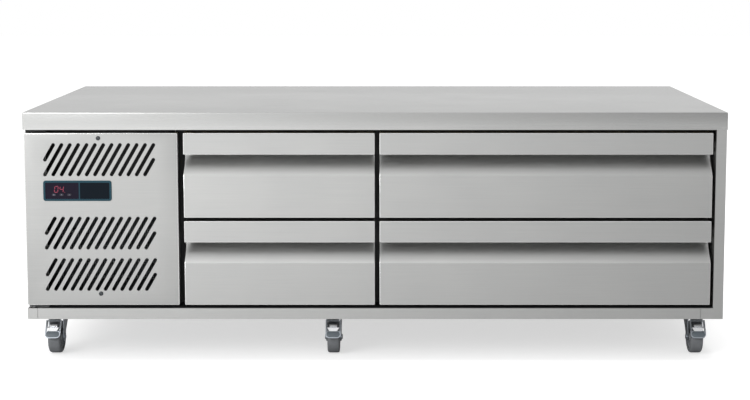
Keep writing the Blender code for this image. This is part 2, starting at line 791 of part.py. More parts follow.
def make_left_side_panel():
    skin = LEFT_X + SIDE_INSET
    panel = box(
        "left_side_panel",
        (skin, cover_back_y(), CASTOR_HEIGHT),
        (skin + BODY_SHEET, REAR_Y, BODY_TOP_Z),
    )
    flange = box(
        "side_panel_flange",
        (skin, cover_back_y(), SHELL_FLOOR_Z),
        (LEFT_X + LEFT_FLANGE_WIDTH, cover_back_y() + BODY_SHEET, BODY_TOP_Z),
        tool=True,
    )
    foot = box(
        "left_foot",
        (skin, FACE_Y, CASTOR_HEIGHT),
        (LEFT_X + LEFT_FOOT_WIDTH, FACE_Y + BODY_SHEET, RAIL_TOP_Z),
        tool=True,
    )
    skirt = box(
        "left_skirt",
        (skin, FACE_Y, CASTOR_HEIGHT),
        (skin + BODY_SHEET, cover_back_y() + SINK, RAIL_TOP_Z),
        tool=True,
    )
    join(panel, flange, foot, skirt)
    dress(panel, STAINLESS)


# Compressor cover and controller


def slot_outline(bottom, top):
    """A slot with round ends, between the centres of its two ends."""
    lean = math.atan2(top[1] - bottom[1], top[0] - bottom[0])
    quarter = math.pi / 2
    radius = SLOT_WIDTH / 2
    return (
        arc(top, radius, lean - quarter, lean + quarter, SLOT_ROUND_STEPS)
        + arc(bottom, radius, lean + quarter, lean + 3 * quarter, SLOT_ROUND_STEPS)
    )


def slot_row(x, z):
    """One row of full slots and an end half slot each side, from the first full slot's bottom end."""
    rise = SLOT_ROW_HEIGHT
    run = rise / math.tan(SLOT_SLANT)
    slots = [
        ((x + i * SLOT_PITCH, z), (x + run + i * SLOT_PITCH, z + rise)) for i in range(SLOTS_IN_ROW)
    ]
    last = x + SLOTS_IN_ROW * SLOT_PITCH
    slots.append(((x - SLOT_PITCH + run / 2, z + rise / 2), (x - SLOT_PITCH + run, z + rise)))
    slots.append(((last, z), (last + run / 2, z + rise / 2)))
    return [slot_outline(bottom, top) for bottom, top in slots]


def make_cover():
    low = (LEFT_X + SIDE_INSET, FACE_Y, LOWER_FRONT_Z)
    high = (COVER_RIGHT_X, FACE_Y + COVER_DEPTH, UPPER_FRONT_Z + FRONT_HEIGHT)
    cover = open_box("compressor_cover", low, high, BODY_SHEET, [(0, 1, 0)])
    bezel_x, bezel_z = bezel_corner()
    margin = HOUSING_MARGIN - HOUSING_CLEARANCE
    window = rectangle(
        (bezel_x + margin, bezel_z + margin),
        (bezel_x + BEZEL_WIDTH - margin, bezel_z + BEZEL_HEIGHT - margin),
    )
    holes = [arc(place, SCREW_HOLE_RADIUS, 0, 2 * math.pi, ROUND_SIDES)[:-1] for place in cover_screws()]
    slots = []
    for share in SLOT_ROW_BOTTOM_SHARES:
        slots += slot_row(LEFT_X + SLOT_ROW_LEFT, LOWER_FRONT_Z + share * COVER_HEIGHT)
    openings = extrusion(
        "cover_openings", [window, *holes, *slots], "Y",
        FACE_Y - CUT_OVERRUN, FACE_Y + BODY_SHEET + CUT_OVERRUN, tool=True,
    )
    # So many holes in one thin sheet leave open edges with the exact solver.
    combine(cover, openings, "DIFFERENCE", "MANIFOLD")
    dress(cover, STAINLESS)


def cover_screws():
    """The middles of the two screws that hold the cover, in X and Z."""
    x = LEFT_X + SCREW_SIDE
    return (
        (x, LOWER_FRONT_Z + LOWER_SCREW_SHARE * COVER_HEIGHT),
        (x, LOWER_FRONT_Z + (1 - UPPER_SCREW_SHARE) * COVER_HEIGHT),
    )


def bezel_corner():
    return LEFT_X + BEZEL_LEFT, LOWER_FRONT_Z + BEZEL_BOTTOM


def make_controller():
    x, z = bezel_corner()
    back = FACE_Y - TOUCH_GAP
    front = back - BEZEL_THICKNESS
    outline = rounded_rectangle((x, z), (x + BEZEL_WIDTH, z + BEZEL_HEIGHT), BEZEL_CORNER_RADIUS)
    housing = extrusion("controller_housing", [outline], "Y", front, back)
    body = box(
        "housing_body",
        (x + HOUSING_MARGIN, back - SINK, z + HOUSING_MARGIN),
        (x + BEZEL_WIDTH - HOUSING_MARGIN, FACE_Y + HOUSING_DEPTH, z + BEZEL_HEIGHT - HOUSING_MARGIN),
        tool=True,
    )
    join(housing, body)
    for index, name in enumerate(("set_key", "down_key", "up_key")):
        key_x = x + FIRST_KEY_X + index * KEY_PITCH
        key_z = z + KEY_Z
        half = (KEY_WIDTH / 2, KEY_HEIGHT / 2)
        seat = front - KEY_PROUD + KEY_THICKNESS + KEY_TRAVEL + TOUCH_GAP
        cut(housing, box(
            f"{name}_pocket",
            (key_x - half[0] - KEY_CLEARANCE, front - CUT_OVERRUN, key_z - half[1] - KEY_CLEARANCE),
            (key_x + half[0] + KEY_CLEARANCE, seat, key_z + half[1] + KEY_CLEARANCE),
            tool=True,
        ))
        face = rounded_rectangle(
            (key_x - half[0], key_z - half[1]), (key_x + half[0], key_z + half[1]), KEY_HEIGHT / 4, 2
        )
        key_y = front - KEY_PROUD
        key = extrusion(name, [face], "Y", key_y, key_y + KEY_THICKNESS)
        set_origin(key, (key_x, front, key_z))
        dress(key, BLACK_RUBBER)
    dress(housing, TEAL_PLASTIC)


# Drawers


def front_outline(top):
    """The side view of a drawer front, from the lip's top round the back and up the scoop."""
    lip_z = top - LIP_HEIGHT
    pocket_z = lip_z + POCKET_RISE
    return [
        (FACE_Y, top),
        (FACE_Y, lip_z),
        (FACE_Y + LIP_THICKNESS, lip_z),
        (FACE_Y + LIP_THICKNESS, pocket_z),
        (FACE_Y + SCOOP_DEPTH, pocket_z),
        (FACE_Y + SCOOP_DEPTH, lip_z - SCOOP_WALL_HEIGHT),
        (FACE_Y, lip_z - SCOOP_HEIGHT),
        (FACE_Y, top - FRONT_HEIGHT),
        (FRONT_BACK_Y, top - FRONT_HEIGHT),
        (FRONT_BACK_Y, top),
    ]


def front_core_outline(top):
    """The space for foam inside a drawer front, from the side."""
    skin = FRONT_SKIN
    lip_z = top - LIP_HEIGHT
    over_pocket_z = lip_z + POCKET_RISE + skin
    behind_pocket_y = FACE_Y + SCOOP_DEPTH + skin
    return [
        (FACE_Y + skin, top - skin),
        (FACE_Y + skin, over_pocket_z),
        (behind_pocket_y, over_pocket_z),
        (behind_pocket_y, lip_z - SCOOP_WALL_HEIGHT - skin),
        (FACE_Y + skin, lip_z - SCOOP_HEIGHT - skin),
        (FACE_Y + skin, top - FRONT_HEIGHT + skin),
        (FRONT_BACK_Y - skin, top - FRONT_HEIGHT + skin),
        (FRONT_BACK_Y - skin, top - skin),
    ]


def make_gasket(bay):
    loops = []
    for inset in (GASKET_INSET, GASKET_INSET + GASKET_WIDTH):
        low = (bay.front_x + inset, bay.front_z + inset)
        high = (bay.front_end_x - inset, bay.front_z + FRONT_HEIGHT - inset)
        loops.append(rectangle(low, high))
    back = FRONT_BACK_Y + TOUCH_GAP
    gasket = extrusion(f"{bay.name}_gasket", loops, "Y", back, back + GASKET_THICKNESS)
    return dress(gasket, BLACK_RUBBER)


def channel_outline(wall, inward, z, web, depth, half_height):
    """A C channel that opens away from the wall, by its web's distance from the wall."""
    points = [
        (web, -half_height),
        (web + depth, -half_height),
        (web + depth, SLIDE_SHEET - half_height),
        (web + SLIDE_SHEET, SLIDE_SHEET - half_height),
        (web + SLIDE_SHEET, half_height - SLIDE_SHEET),
        (web + depth, half_height - SLIDE_SHEET),
        (web + depth, half_height),
        (web, half_height),
    ]
    return [(wall + inward * d, z + h) for d, h in points]


def frame_side_outline(wall, inward, z):
    """The drawer frame's side: the inner slide member, and the ledge and upstand that a pan's rim sits on."""
    h, t = INNER_HALF_HEIGHT, DRAWER_SHEET
    points = [
        (INNER_WEB, -h),
        (INNER_WEB + INNER_FLANGE, -h),
        (INNER_WEB + INNER_FLANGE, t - h),
        (INNER_WEB + t, t - h),
        (INNER_WEB + t, h - t),
        (PAN_EDGE + PAN_LEDGE, h - t),
        (PAN_EDGE + PAN_LEDGE, h),
        (PAN_EDGE, h),
        (PAN_EDGE, h + PAN_UPSTAND),
        (PAN_EDGE - t, h + PAN_UPSTAND),
        (PAN_EDGE - t, h),
        (INNER_WEB, h),
    ]
    return [(wall + inward * d, z + height) for d, height in points]


def cross_bar_outline(y, inward, z):
    """The angle across one end of a drawer frame, with its own ledge and upstand."""
    h, t = INNER_HALF_HEIGHT, DRAWER_SHEET
    points = [
        (0, h - CROSS_BAR_HEIGHT), (t, h - CROSS_BAR_HEIGHT), (t, h - t), (t + PAN_LEDGE, h - t),
        (t + PAN_LEDGE, h), (t, h), (t, h + PAN_UPSTAND), (0, h + PAN_UPSTAND),
    ]
    return [(y + inward * d, z + height) for d, height in points]


def make_drawer_frame(bay):
    z = bay.slide_z
    sides = [
        extrusion(
            f"{bay.name}_{name}", [frame_side_outline(*bay.wall(side), z)], "Y",
            DRAWER_FRAME_Y, DRAWER_FRAME_END_Y, tool=name == "right_side",
        )
        for name, side in (("drawer_frame", LEFT), ("right_side", RIGHT))
    ]
    frame = sides[0]
    join(frame, sides[1])
    clear = MIDDLE_WEB + SLIDE_DEPTH + SLIDE_CLEARANCE
    across = (bay.open_x + clear, bay.open_end_x - clear)
    for name, y, inward in (("front_bar", DRAWER_FRAME_Y, 1), ("rear_bar", DRAWER_FRAME_END_Y, -1)):
        outline = cross_bar_outline(y, inward, z)
        join(frame, extrusion(f"{bay.name}_{name}", [outline], "X", *across, tool=True))
    inside = bay.open_end_x - bay.open_x - 2 * PAN_EDGE
    top = z + INNER_HALF_HEIGHT
    for index in range(1, bay.pans):
        x = bay.open_x + PAN_EDGE + inside * index / bay.pans
        ledge = box(
            f"{bay.name}_divider",
            (x - PAN_LEDGE, DRAWER_FRAME_Y + SINK, top - DRAWER_SHEET),
            (x + PAN_LEDGE, DRAWER_FRAME_END_Y - SINK, top),
            tool=True,
        )
        web = box(
            f"{bay.name}_divider_web",
            (x - DRAWER_SHEET, DRAWER_FRAME_Y + SINK, top - DIVIDER_HEIGHT),
            (x + DRAWER_SHEET, DRAWER_FRAME_END_Y - SINK, top - SINK),
            tool=True,
        )
        join(frame, ledge, web)
    return dress(frame, STAINLESS)


def make_drawer(bay):
    top = bay.front_z + FRONT_HEIGHT
    front = extrusion(
        f"{bay.name}_drawer_front", [front_outline(top)], "X", bay.front_x, bay.front_end_x
    )
    round_edges(front, FRONT_EDGE_RADIUS)
    core = extrusion(
        f"{bay.name}_front_core", [front_core_outline(top)], "X",
        bay.front_x + FRONT_SKIN, bay.front_end_x - FRONT_SKIN, tool=True,
    )
    fill_hole = cylinder(
        f"{bay.name}_fill_hole", "Y",
        (bay.front_x + FILL_HOLE_SIDE, FRONT_BACK_Y, bay.front_z + FILL_HOLE_HEIGHT),
        FILL_HOLE_RADIUS, 2 * (FRONT_SKIN + CUT_OVERRUN), tool=True,
    )
    cut(front, core, fill_hole)
    dress(front, STAINLESS)
    gasket = make_gasket(bay)
    frame = make_drawer_frame(bay)
    drawer = pivot(f"{bay.name}_drawer", (bay.front_x + bay.front_width / 2, FACE_Y, bay.slide_z))
    carry(drawer, front, gasket, frame)
    slides = [
        dress(extrusion(
            f"{bay.name}_{name}_slide",
            [channel_outline(*bay.wall(side), bay.slide_z, MIDDLE_WEB, SLIDE_DEPTH, MIDDLE_HALF_HEIGHT)],
            "Y", SEAL_Y + SLIDE_END_GAP, DRAWER_FRAME_END_Y,
        ), GALVANISED)
        for name, side in (("left", LEFT), ("right", RIGHT))
    ]
    middle = pivot(f"{bay.name}_middle_slides", (bay.front_x + bay.front_width / 2, SEAL_Y, bay.slide_z))
    carry(middle, *slides)


def fixed_member(bay, side, name, tool):
    outline = channel_outline(*bay.wall(side), bay.slide_z, FIXED_WEB, SLIDE_DEPTH, SLIDE_HEIGHT / 2)
    return extrusion(name, [outline], "Y", SEAL_Y + SLIDE_END_GAP, DRAWER_FRAME_END_Y, tool)


def upright_rows():
    """The middle of each upright that the fixed members are welded to."""
    return (CHAMBER_FRONT_Y + UPRIGHT_INSET, DRAWER_FRAME_END_Y - UPRIGHT_INSET)


def make_slide_rack(name, members, low_x, high_x):
    """Fixed slide members on two uprights that stand between the chamber's floor and ceiling."""
    posts = [
        box(
            name if index == 0 else f"{name}_post",
            (low_x, y - UPRIGHT_WIDTH / 2, CHAMBER_Z + TOUCH_GAP),
            (high_x, y + UPRIGHT_WIDTH / 2, CHAMBER_TOP_Z - TOUCH_GAP),
            tool=index > 0,
        )
        for index, y in enumerate(upright_rows())
    ]
    channels = [
        fixed_member(bay, side, f"{name}_{bay.name}_member", True) for bay, side in members
    ]
    join(posts[0], *channels, posts[1])
    wall = UPRIGHT_THICKNESS
    if high_x - low_x > 4 * wall:
        # Between two bays the uprights are frames: two legs with a plate across their feet and heads.
        for index, y in enumerate(upright_rows()):
            cut(posts[0], box(
                f"{name}_window_{index + 1}",
                (low_x + wall, y - UPRIGHT_WIDTH, CHAMBER_Z + TOUCH_GAP + wall),
                (high_x - wall, y + UPRIGHT_WIDTH, CHAMBER_TOP_Z - TOUCH_GAP - wall),
                tool=True,
            ))
    dress(posts[0], GALVANISED)


def make_slide_racks(bays):
    left = [bay for bay in bays if bay.name.endswith("left")]
    right = [bay for bay in bays if bay.name.endswith("right")]
    reach = UPRIGHT_THICKNESS + TOUCH_GAP + SINK
    make_slide_rack(
        "left_slide_rack", [(bay, LEFT) for bay in left], CHAMBER_X + TOUCH_GAP, CHAMBER_X + reach
    )
    make_slide_rack(
        "mullion_slide_rack",
        [(bay, RIGHT) for bay in left] + [(bay, LEFT) for bay in right],
        left[0].open_end_x - reach, right[0].open_x + reach,
    )
    make_slide_rack(
        "right_slide_rack", [(bay, RIGHT) for bay in right], CHAMBER_END_X - reach, CHAMBER_END_X - TOUCH_GAP
    )


# Condensing unit


def grooves(low, high, count, share, depth):
    """Outlines, seen from above, of the grooves between the fins on the low V side of a coil."""
    pitch = (high[0] - low[0]) / count
    width = pitch * share
    starts = [low[0] + index * pitch + (pitch - width) / 2 for index in range(count)]
    return [rectangle((start, low[1] - CUT_OVERRUN), (start + width, low[1] + depth)) for start in starts]


def blade(name, root, tip, chord, pitch, turn, axis, centre):
    """One fan blade, pitched about its own length and turned round the fan's axis."""
    span = tip - root
    outline = [
        (chord * across, root + span * along)
        for across, along in BLADE_OUTLINE_SHARES
    ]
    body = extrusion(name, [outline], "Z", -BLADE_THICKNESS / 2, BLADE_THICKNESS / 2, tool=True)
    body.data.transform(Matrix.Rotation(turn, 4, "Z") @ Matrix.Rotation(pitch, 4, "Y"))
    body.data.transform(Matrix.Translation(centre) @ axis_matrix(axis))
    return body


def make_fan(name, axis, centre, hub_radius, hub_length, tip, chord):
    bore = SHAFT_RADIUS + SHAFT_CLEARANCE
    half = hub_length / 2
    profile = [(bore, half), (hub_radius, half), (hub_radius, -half), (bore, -half)]
    hub = turned(name, profile, axis, centre, True)
    root = (bore + hub_radius) / 2
    for index in range(FAN_BLADES):
        turn = index * 2 * math.pi / FAN_BLADES
        join(hub, blade(f"{name}_blade_{index + 1}", root, tip, chord, FAN_PITCH, turn, axis, centre))
    return dress(hub, BLACK_PLASTIC)


@dataclass(frozen=True)
class MachineRoom:
    """Where the condensing unit stands, from the pieces round it."""

    x: float = LEFT_X + SIDE_INSET + BODY_SHEET
    end_x: float = PARTITION_SKIN_X
    coil_y: float = FACE_Y + HOUSING_DEPTH + COIL_FRONT_GAP
    tray_z: float = SHELL_FLOOR_Z
    floor_z: float = SHELL_FLOOR_Z + TRAY_SHEET + TOUCH_GAP

    @property
    def coil_x(self):
        return self.x + TRAY_SIDE_GAP + TRAY_SHEET + COIL_SIDE_GAP

    @property
    def coil_end_x(self):
        return self.end_x - TRAY_SIDE_GAP - TRAY_SHEET - COIL_SIDE_GAP

    @property
    def fan_centre(self):
        back = self.coil_y + COIL_DEPTH + TOUCH_GAP + SHROUD_SHEET
        middle_x = (self.coil_x + self.coil_end_x) / 2
        return Vector((middle_x, back + FAN_PLATE_GAP, self.floor_z + COIL_HEIGHT / 2))

    @property
    def compressor(self):
        return Vector((
            self.x + COMPRESSOR_LEFT_GAP + COMPRESSOR_FOOT_WIDTH / 2,
            REAR_Y - BODY_SHEET - COMPRESSOR_REAR_GAP - COMPRESSOR_RADIUS,
            self.floor_z,
        ))


def make_tray(room):
    tray = open_box(
        "unit_tray",
        (room.x + TRAY_SIDE_GAP, FACE_Y + BASE_RAIL_DEPTH - TRAY_FRONT_GAP, room.tray_z),
        (room.end_x - TRAY_SIDE_GAP, REAR_Y - TRAY_REAR_GAP, room.tray_z + TRAY_HEIGHT),
        TRAY_SHEET, [(0, 0, 1)],
    )
    dress(tray, GALVANISED)


def make_condenser(room):
    top = room.floor_z + COIL_HEIGHT
    back = room.coil_y + COIL_DEPTH
    coil = box("condenser_coil", (room.coil_x, room.coil_y, room.floor_z), (room.coil_end_x, back, top))
    outlines = grooves(
        (room.coil_x + COIL_END_PLATE, room.coil_y), (room.coil_end_x - COIL_END_PLATE, back),
        FIN_COUNT, FIN_GROOVE_SHARE, FIN_GROOVE_DEPTH,
    )
    combine(coil, extrusion(
        "condenser_grooves", outlines, "Z", room.floor_z - CUT_OVERRUN, top + CUT_OVERRUN, tool=True
    ), "DIFFERENCE", "MANIFOLD")
    dress(coil, ALUMINIUM)


def make_shroud(room):
    plate_y = room.coil_y + COIL_DEPTH + TOUCH_GAP
    centre = room.fan_centre
    top = room.floor_z + COIL_HEIGHT
    plate = box(
        "fan_shroud", (room.coil_x, plate_y, room.floor_z), (room.coil_end_x, plate_y + SHROUD_SHEET, top)
    )
    cut(plate, cylinder(
        "shroud_opening", "Y", (centre.x, plate_y, centre.z),
        SHROUD_OPENING_RADIUS, 6 * SHROUD_SHEET, TURNED_STEPS, tool=True,
    ))
    bar_y = centre.y + FAN_HUB_LENGTH / 2 + MOTOR_GAP
    bar = (bar_y, bar_y + MOTOR_BAR_SHEET)
    half = MOTOR_BAR_HEIGHT / 2
    across = box(
        "motor_bar",
        (room.coil_x, bar[0], centre.z - half),
        (room.coil_end_x, bar[1], centre.z + half),
        tool=True,
    )
    leg_starts = (room.coil_x + SINK, room.coil_end_x - MOTOR_BAR_SHEET - SINK)
    leg_half = half - SINK
    legs = [
        box(
            f"motor_bar_{side}_leg",
            (x, plate_y, centre.z - leg_half),
            (x + MOTOR_BAR_SHEET, bar[1] - SINK, centre.z + leg_half),
            tool=True,
        )
        for side, x in zip(("left", "right"), leg_starts)
    ]
    motor = cylinder(
        "fan_motor", "Y", (centre.x, bar[0] + MOTOR_LENGTH / 2 + SINK, centre.z),
        MOTOR_RADIUS, MOTOR_LENGTH, TURNED_STEPS, tool=True,
    )
    shaft_length = FAN_HUB_LENGTH + MOTOR_GAP + MOTOR_BAR_SHEET
    shaft = cylinder(
        "fan_shaft", "Y", (centre.x, bar[1] - shaft_length / 2, centre.z),
        SHAFT_RADIUS, shaft_length, tool=True,
    )
    join(plate, *legs, across, motor, shaft)
    dress(plate, GALVANISED)


def make_compressor(room):
    place = room.compressor
    foot = COMPRESSOR_FOOT_WIDTH / 2
    height = COMPRESSOR_HEIGHT - COMPRESSOR_FOOT_HEIGHT
    shell = [
        (COMPRESSOR_RADIUS * radius_share, COMPRESSOR_FOOT_HEIGHT + height * height_share)
        for radius_share, height_share in COMPRESSOR_PROFILE_SHARES
    ]
    profile = [(0, COMPRESSOR_HEIGHT), *shell, (0, COMPRESSOR_FOOT_HEIGHT)]
    body = turned("compressor", profile, "Z", place, False)
    low = COMPRESSOR_FOOT_HEIGHT - COMPRESSOR_FOOT_SHEET
    plate = open_box(
        "compressor_feet",
        (place.x - foot, place.y - foot / 2, place.z),
        (place.x + foot, place.y + foot / 2, place.z + low + 2 * COMPRESSOR_FOOT_SHEET),
        COMPRESSOR_FOOT_SHEET, [(0, 1, 0), (0, -1, 0), (0, 0, -1)], tool=True,
    )
    join(body, plate)
    dress(body, BLACK_ENAMEL)


def make_rear_grille(room):
    low = (room.x + TOUCH_GAP, REAR_Y - BODY_SHEET, SHELL_FLOOR_Z)
    high = (room.end_x - TOUCH_GAP, REAR_Y, BODY_TOP_Z)
    top = BODY_TOP_Z - GRILLE_SLOT_TOP_GAP
    slot_tops = [top - index * GRILLE_SLOT_PITCH for index in range(GRILLE_SLOT_COUNT)]
    slots = [
        rectangle((low[0] + GRILLE_SLOT_SIDE, z - GRILLE_SLOT_HEIGHT), (high[0] - GRILLE_SLOT_SIDE, z))
        for z in slot_tops
    ]
    grille = box("rear_grille", low, high)
    cut(grille, extrusion(
        "grille_slots", slots, "Y", low[1] - CUT_OVERRUN, high[1] + CUT_OVERRUN, tool=True
    ))
    x, z = low[0] + INLET_X, low[2] + INLET_Z
    inlet = open_box(
        "power_inlet",
        (x, REAR_Y - INLET_DEPTH, z),
        (x + INLET_WIDTH, REAR_Y, z + INLET_HEIGHT),
        INLET_WALL, [(0, 1, 0)], tool=True,
    )
    recess = box(
        "inlet_recess",
        (x + INLET_WALL, REAR_Y - INLET_DEPTH + INLET_WALL, z + INLET_WALL),
        (x + INLET_WIDTH - INLET_WALL, REAR_Y + CUT_OVERRUN, z + INLET_HEIGHT - INLET_WALL),
        tool=True,
    )
    join(grille, inlet)
    cut(grille, recess)
    dress(grille, STAINLESS)


def line_points(start, turns, end):
    """A route of straight runs with a rounded bend at each turn."""
    corners = [Vector(start), *map(Vector, turns), Vector(end)]
    points = [corners[0]]
    for before, corner, after in zip(corners, corners[1:], corners[2:]):
        arrive, leave = (corner - before).normalized(), (after - corner).normalized()
        centre = corner - LINE_BEND_RADIUS * arrive + LINE_BEND_RADIUS * leave
        for step in range(LINE_BEND_STEPS + 1):
            angle = math.pi / 2 * step / LINE_BEND_STEPS
            outward = math.sin(angle) * arrive - math.cos(angle) * leave
            points.append(centre + LINE_BEND_RADIUS * outward)
    return points + [corners[-1]]


def make_suction_line(room):
    place = room.compressor
    entry = Vector((room.end_x - TOUCH_GAP - EVAPORATOR_DEPTH - TOUCH_GAP, place.y, LINE_TOP_Z))
    start = Vector((place.x, place.y, place.z + COMPRESSOR_HEIGHT + TOUCH_GAP))
    points = line_points(start, [(start.x, start.y, entry.z)], entry)
    drawing = bpy.data.curves.new("suction_line", "CURVE")
    drawing.dimensions = "3D"
    drawing.bevel_depth = LINE_RADIUS
    drawing.bevel_resolution = 2
    drawing.use_fill_caps = True
    spline = drawing.splines.new("POLY")
    spline.points.add(len(points) - 1)
    for point, place_of in zip(spline.points, points):
        point.co = (*place_of, 1)
    dress(add("suction_line", drawing), COPPER)


# Evaporator


def make_evaporator(room):
    y, z, half_width, half_height = evaporator_place()
    wall = EVAPORATOR_WALL
    end_x = room.end_x - TOUCH_GAP
    back_x = end_x - EVAPORATOR_DEPTH
    housing = open_box(
        "evaporator_housing",
        (back_x, y - half_width - wall, z - half_height - wall),
        (end_x, y + half_width + wall, z + half_height + wall),
        wall, [(1, 0, 0)],
    )
    dress(housing, FOAM_MOULDING)
    inner_x = back_x + wall
    coil_x = inner_x + EVAPORATOR_COIL_INSET
    side = half_width - EVAPORATOR_COIL_SIDE_GAP
    low_z, high_z = z - half_height + TOUCH_GAP, z + half_height - TOUCH_GAP
    coil_end_x = coil_x + EVAPORATOR_COIL_DEPTH
    coil = box("evaporator_coil", (coil_x, y - side, low_z), (coil_end_x, y + side, high_z))
    outlines = [
        [(v, u) for u, v in outline]
        for outline in grooves(
            (y - side, coil_x), (y + side, coil_end_x), EVAPORATOR_FINS, FIN_GROOVE_SHARE, EVAPORATOR_FIN_GROOVE
        )
    ]
    combine(coil, extrusion(
        "evaporator_grooves", outlines, "Z", low_z - CUT_OVERRUN, high_z + CUT_OVERRUN, tool=True
    ), "DIFFERENCE", "MANIFOLD")
    plate_x = coil_x + EVAPORATOR_COIL_DEPTH + EVAPORATOR_PLATE_GAP
    plate = box(
        "evaporator_fan_plate",
        (plate_x, y - side, low_z),
        (plate_x + SHROUD_SHEET, y + side, high_z),
        tool=True,
    )
    cut(plate, cylinder(
        "evaporator_opening", "X", (plate_x, y, z),
        EVAPORATOR_OPENING_RADIUS, 6 * SHROUD_SHEET, TURNED_STEPS, tool=True,
    ))
    strap_side = side - SINK
    straps = [
        box(
            name,
            (coil_x + SINK, y - strap_side, strap_z),
            (plate_x + SINK, y + strap_side, strap_z + STRAP_HEIGHT),
            tool=True,
        )
        for name, strap_z in (("lower_strap", low_z + SINK), ("upper_strap", high_z - STRAP_HEIGHT - SINK))
    ]
    motor_x = coil_x + SINK
    motor_length = plate_x - SINK - motor_x
    motor = cylinder(
        "evaporator_motor", "X", (motor_x + motor_length / 2, y, z),
        EVAPORATOR_MOTOR_RADIUS, motor_length, TURNED_STEPS, tool=True,
    )
    fan_x = plate_x + SHROUD_SHEET + EVAPORATOR_HUB_LENGTH / 2
    shaft_length = fan_x + EVAPORATOR_HUB_LENGTH / 2 - motor_x
    shaft = cylinder(
        "evaporator_shaft", "X", (motor_x + shaft_length / 2, y, z), SHAFT_RADIUS, shaft_length, tool=True
    )
    for shape in (*straps, plate, motor, shaft):
        combine(coil, shape, "UNION", "MANIFOLD")
    dress(coil, ALUMINIUM)
    make_fan(
        "evaporator_fan", "X", (fan_x, y, z), EVAPORATOR_HUB_RADIUS, EVAPORATOR_HUB_LENGTH,
        EVAPORATOR_FAN_RADIUS, EVAPORATOR_FAN_CHORD,
    )


# Castors


def fork_leg_outline(wheel_y):
    """One leg of the fork from the side: wide at the crown, round at the axle."""
    top = FORK_CROWN_Z + FORK_SHEET
    end = arc((wheel_y, WHEEL_RADIUS), FORK_LEG_END_RADIUS, 0, -math.pi, 6)
    front = -FORK_LEG_FRONT
    return [
        (FORK_CROWN_BACK, top),
        (FORK_CROWN_BACK, FORK_CROWN_Z - FORK_SHEET),
        *end,
        (front, FORK_CROWN_Z - 3 * FORK_SHEET),
        (front, top),
    ]


def make_fork(name, x, y):
    inner = TYRE_HALF_WIDTH + FORK_CLEARANCE
    outer = inner + FORK_SHEET
    wheel_y = -CASTOR_TRAIL
    head_top = CASTOR_HEIGHT - PLATE_THICKNESS - TOUCH_GAP
    crown_top = FORK_CROWN_Z + FORK_SHEET
    profile = [
        (0, head_top),
        (SWIVEL_NECK_RADIUS, head_top),
        (SWIVEL_HEAD_RADIUS, (head_top + crown_top) / 2),
        (SWIVEL_HEAD_RADIUS, crown_top - SINK),
        (0, crown_top - SINK),
    ]
    head = turned(f"{name}_castor_fork", profile, "Z", (x, y, 0), False, WHEEL_STEPS)
    crown = box(
        f"{name}_crown",
        (-outer, -FORK_CROWN_FRONT, FORK_CROWN_Z),
        (outer, FORK_CROWN_BACK, crown_top),
        tool=True,
    )
    legs = [
        extrusion(f"{name}_{side}_leg", [fork_leg_outline(wheel_y)], "X", start, start + FORK_SHEET, tool=True)
        for side, start in (("left", -outer), ("right", inner))
    ]
    reach = outer + AXLE_NUT_THICKNESS
    axle = cylinder(
        f"{name}_axle", "X", (0, wheel_y, WHEEL_RADIUS), AXLE_RADIUS, 2 * outer + SINK, tool=True
    )
    nuts = [
        cylinder(
            f"{name}_{side}_nut", "X", (sign * (outer + reach - SINK) / 2, wheel_y, WHEEL_RADIUS),
            AXLE_NUT_RADIUS, AXLE_NUT_THICKNESS + SINK, 6, tool=True,
        )
        for side, sign in (("left", -1), ("right", 1))
    ]
    shapes = [crown, *legs, axle, *nuts]
    if name.startswith("front"):
        shapes.append(cylinder(
            f"{name}_pedal_pin", "X", (0, -PEDAL_PIN_FORWARD, PEDAL_PIN_Z),
            PEDAL_PIN_RADIUS, 2 * outer - SINK, tool=True,
        ))
    for shape in shapes:
        shape.location = (x, y, 0)
    join(head, *shapes)
    return dress(head, ZINC)


def make_wheel(name, x, y):
    """A wheel of flat facets, turned so that one of them lies on the floor."""
    half = [
        (AXLE_RADIUS + AXLE_CLEARANCE, WHEEL_HUB_HALF_WIDTH),
        (WHEEL_HUB_RADIUS, WHEEL_HUB_HALF_WIDTH),
        (WHEEL_RIM_RADIUS, WHEEL_WEB_HALF_WIDTH),
        (WHEEL_RADIUS - TYRE_SHOULDER, TYRE_HALF_WIDTH),
        (WHEEL_RADIUS, TREAD_HALF_WIDTH),
    ]
    half_turn = math.pi / WHEEL_STEPS
    half = [(radius / math.cos(half_turn), width) for radius, width in half]
    profile = half + [(radius, -width) for radius, width in reversed(half)]
    wheel = turned(
        f"{name}_castor_wheel", profile, "X", (x, y - CASTOR_TRAIL, WHEEL_RADIUS), True, WHEEL_STEPS
    )
    wheel.matrix_world = wheel.matrix_world @ Matrix.Rotation(half_turn, 4, "Z")
    return dress(wheel, GREY_RUBBER)


